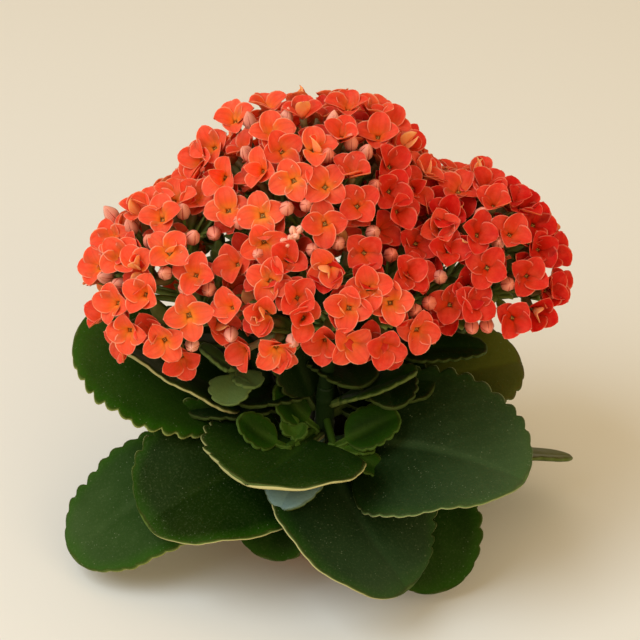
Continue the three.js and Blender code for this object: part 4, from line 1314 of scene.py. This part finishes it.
bud_skin, tree, shader = new_material("bud_skin", 0.45, 0.4)
along, round_it, pale = stored(tree, "along"), stored(tree, "across"), stored(tree, "tone")
colour = mix(tree, pale, (0.74, 0.14, 0.07), (0.96, 0.52, 0.36))
stripes = math_node(tree, "SINE", times(tree, round_it, BUD_STRIPES))
groove = math_node(tree, "ABSOLUTE", stripes)
colour = mix(tree, ramp_between(tree, groove, 0.35, 0.05), colour, (0.45, 0.05, 0.03))
colour = mix(tree, ramp_between(tree, along, 0.25, 0.1), colour, (0.12, 0.16, 0.04))
link(tree, colour, shader.inputs["Base Color"])
bump(tree, groove, 0.3, 0.0004, shader)

stalk_skin, tree, shader = new_material("stalk_skin", 0.5, 0.4)
along = stored(tree, "along")
colour = mix(tree, noise(tree, 300, 3, 0.6), (0.05, 0.10, 0.010), (0.25, 0.32, 0.055))
colour = mix(tree, ramp_between(tree, along, 0.55, 0.8), colour, (0.22, 0.14, 0.04))
link(tree, colour, shader.inputs["Base Color"])

anthers_and_throat_shade, tree, shader = new_material("anthers_and_throat_shade", 0.6, 0.3)
# Tone 0 is the anthers' pale yellow. Tone 1 is the near-black of the disc in each throat, which is
# painted shade.
dark = ramp_between(tree, stored(tree, "tone"), 0.4, 0.6)
colour = mix(tree, dark, (0.80, 0.45, 0.08), (0.07, 0.03, 0.005))
link(tree, colour, shader.inputs["Base Color"])
print("finishes", [material.name for material in (bud_skin, stalk_skin, anthers_and_throat_shade)])

# %% [markdown]
# ## Stalks, buds and anthers
# Behind its petals a floret is a pale tube with a green foot, on a thin stalk that curves to a
# node of its head. The nodes stand on branches that meet at a fork on the stem's end. A bud is
# the same stalk with a striped spindle on it. All of them are tubes whose radius changes.

# %% Stalks, branches and trunks
# Sizes along a floret's tube, from its node to its petals: the share of its length, and the
# radius there. The tube widens from a thin stalk to its green foot. GREEN_HEIGHT is what the
# trunks store as their height, so that the stems' finish makes them green all along.
TUBE = 7.0
TUBE_SHARES = np.array([0, .25, .5, .62, .72, .8, .9, 1.0])
TUBE_RADII = np.array([.55, .5, .6, 1.5, 1.75, 1.35, 1.15, 1.25])
INTO_PETALS = 0.4
BUD_STALK_RADIUS, BUD_STALK_ROWS = 0.6, 6
BRANCH_RADII = np.linspace(1.3, 0.9, 8)
TRUNK_RADII = np.linspace(2.7, 1.9, 14)
TRUNK_PULL, TRUNK_STEP = 14, 6
GREEN_HEIGHT = 70.0
STALK_SIDES, THIN_SIDES, TRUNK_SIDES = 7, 6, 12
NODE_PULL, FLORET_PULL, BUD_PULL = 6, 16, 8
BRACTS = 5
BRACT_RADII = np.sin(np.pi * np.linspace(0.1, 0.98, 7)**0.8) * 3.0 + 0.1
BRACT_FLAT = 0.2


def from_nodes(foot, end, arrive, nodes, rows):
    """Curves from the node nearest to each foot, setting off for the foot, up to each end."""
    start = nearest(foot, nodes)
    return bend(start, end, unit(foot - start) * NODE_PULL, arrive, rows)


def floret_stalks(at, way, nodes):
    """Each floret's stalk, green foot and pale tube as one rod that ends among its petals."""
    foot, end, rows = at - way * TUBE, at + way * INTO_PETALS, len(TUBE_SHARES)
    path = from_nodes(foot, end, way * FLORET_PULL, nodes, rows)
    return rods(path, TUBE_RADII, STALK_SIDES), {"along": TUBE_SHARES[None, :, None]}


def bud_stalks(foot, way, nodes):
    """The stalks of buds, each up to its bud's foot."""
    path = from_nodes(foot, foot, way * BUD_PULL, nodes, BUD_STALK_ROWS)
    return rods(path, BUD_STALK_RADIUS, THIN_SIDES), {}


def branches(fork, nodes):
    """Limbs from a head's fork to its nodes: they rise first, then spread, and grow thinner."""
    out = unit(nodes - fork)
    start = np.repeat(fork, len(nodes), 0)
    path = bend(start, nodes, out * 4 + [0, 0, 6], out * 8, len(BRANCH_RADII))
    return rods(path, BRANCH_RADII, STALK_SIDES), {}


def bracts(fork, nodes, seed):
    """Small pointed leaves round each node: thin ovals that leave it outwards and droop."""
    root = np.repeat(nodes, BRACTS, axis=0)
    m = np.arange(len(root)) + seed
    around = direction(360 * chance(m), 60 * chance(m + 7) - 20)
    tip = root + unit(around + unit(root - fork) * 0.7) * (9 + 5 * chance(m + 3))[:, None]
    path = bend(root, tip, around * 8, unit(tip - root) * 6 + [0, 0, -4], len(BRACT_RADII))
    return rods(path, BRACT_RADII, THIN_SIDES, flat=BRACT_FLAT), {}


def trunk(name, fork):
    """The head's own stalk, which carries its stem on to the fork without a corner."""
    top = STEMS[name][1][2]
    end = on_stem(name, np.float64(top))
    lean = end - on_stem(name, np.float64(top - TRUNK_STEP))
    leave, arrive = unit(lean[None]) * TRUNK_PULL, unit(fork - end) * TRUNK_PULL
    path = bend(end[None], fork, leave, arrive, len(TRUNK_RADII))
    return rods(path, TRUNK_RADII, TRUNK_SIDES), {"height": GREEN_HEIGHT}


print("a floret's stalk is", TUBE_RADII.min(), "to", TUBE_RADII.max(), "mm in radius")

# %% Petals, buds and throats
BUD_HALF, BUD_RADIUS, NEW_BUD = 4.2, 2.5, 0.55
BUD_SHARES = np.linspace(0, 1, 8)
BUD_SWELL = BUD_RADIUS * np.sin(np.pi * np.clip(BUD_SHARES, 0.06, 0.985)**0.8)**0.75
BUD_SIDES = 8
ANTHERS = 4
BEAD_ROWS, BEAD_RADII, BEAD_SIDES = [-0.3, 0, 0.3], [0.08, 0.18, 0.08], 5
THROAT_SHADE_ROWS, THROAT_SHADE_RADII, THROAT_SHADE_SIDES = [-0.2, 0.1, 0.45], [0.4, 0.42, 0.15], 8


def petal_stack(at, way, spin, openness, seed, tone):
    """The petals of a head's florets, turned to face their ways."""
    grid, stores = petal_grids(len(at), openness, seed)
    grid = face_way(grid, at, way, spin)
    stores["tone"] = np.repeat(tone, PETALS)[:, None, None]
    return grid.reshape(-1, *grid.shape[2:]) * MM, stores


def bud_stack(at, way, pale, size):
    """Buds as spindles: the radius is a sine along the bud, fullest nearer its foot."""
    grid = short_rods(at, way, (2 * BUD_SHARES - 1) * BUD_HALF * size, BUD_SWELL * size, BUD_SIDES)
    return grid, {"along": BUD_SHARES[None, :, None], "tone": pale[:, None, None],
                  "across": 2 * np.pi * np.arange(BUD_SIDES) / BUD_SIDES}


def throat_stacks(at, way, spin, seed):
    """Four pale anthers in each throat, as beads set round it, and a painted-shade disc under them."""
    m = seed[:, None] + 3 * np.arange(ANTHERS)
    quarter = np.arange(ANTHERS) * np.pi / 2 + 1.4 * chance(m)
    off = 0.22 + 0.24 * chance(m + 1)
    beads = np.stack([off * np.cos(quarter), off * np.sin(quarter), 0.5 + 0.3 * chance(m + 2)], axis=-1)
    beads = face_way(beads, at, way, spin).reshape(-1, 3)
    up = np.repeat(way, ANTHERS, axis=0)
    beads = short_rods(beads, up, BEAD_ROWS, BEAD_RADII, BEAD_SIDES)
    # A dark disc in the tube's mouth: painted shade.
    throat_shade = short_rods(at, way, THROAT_SHADE_ROWS, THROAT_SHADE_RADII, THROAT_SHADE_SIDES)
    return [(beads, {"tone": 0.0}), (throat_shade, {"tone": 1.0})]


print("a bud is", 2 * BUD_HALF, "mm long and", 2 * BUD_RADIUS, "mm thick")

# %% Put each head together
for number, name in enumerate(HEADS):
    mine, own = all_head == number, bud_head == number
    at, way, seed, spin = all_at[mine], all_way[mine], all_seed[mine], all_spin[mine]
    size = np.where(bud_pale[own] > 0.99, NEW_BUD, 1.0)[:, None]
    foot = bud_at[own] - bud_way[own] * BUD_HALF * size
    nodes, fork = head_nodes(number), FORKS[number][None]
    tone = tone_of(at, seed, all_under[mine], all_shift[mine])
    make_piece(f"petals_{name}", [petal_stack(at, way, spin, all_open[mine], seed, tone)],
               petal, node=f"flower_head_{name}")
    make_piece(f"stalks_{name}", [
        floret_stalks(at, way, nodes), bud_stalks(foot, bud_way[own], nodes),
        branches(fork, nodes), bracts(fork, nodes, 50 * number)], stalk_skin)
    make_piece(f"trunk_{name}", [trunk(name, fork)], bark)
    if own.any():
        stack = bud_stack(bud_at[own], bud_way[own], bud_pale[own], size)
        make_piece(f"buds_{name}", [stack], bud_skin)
    make_piece(f"throats_{name}", throat_stacks(at, way, spin, seed), anthers_and_throat_shade)
    print(name, len(at), "florets,", own.sum(), "buds,", len(nodes), "nodes")
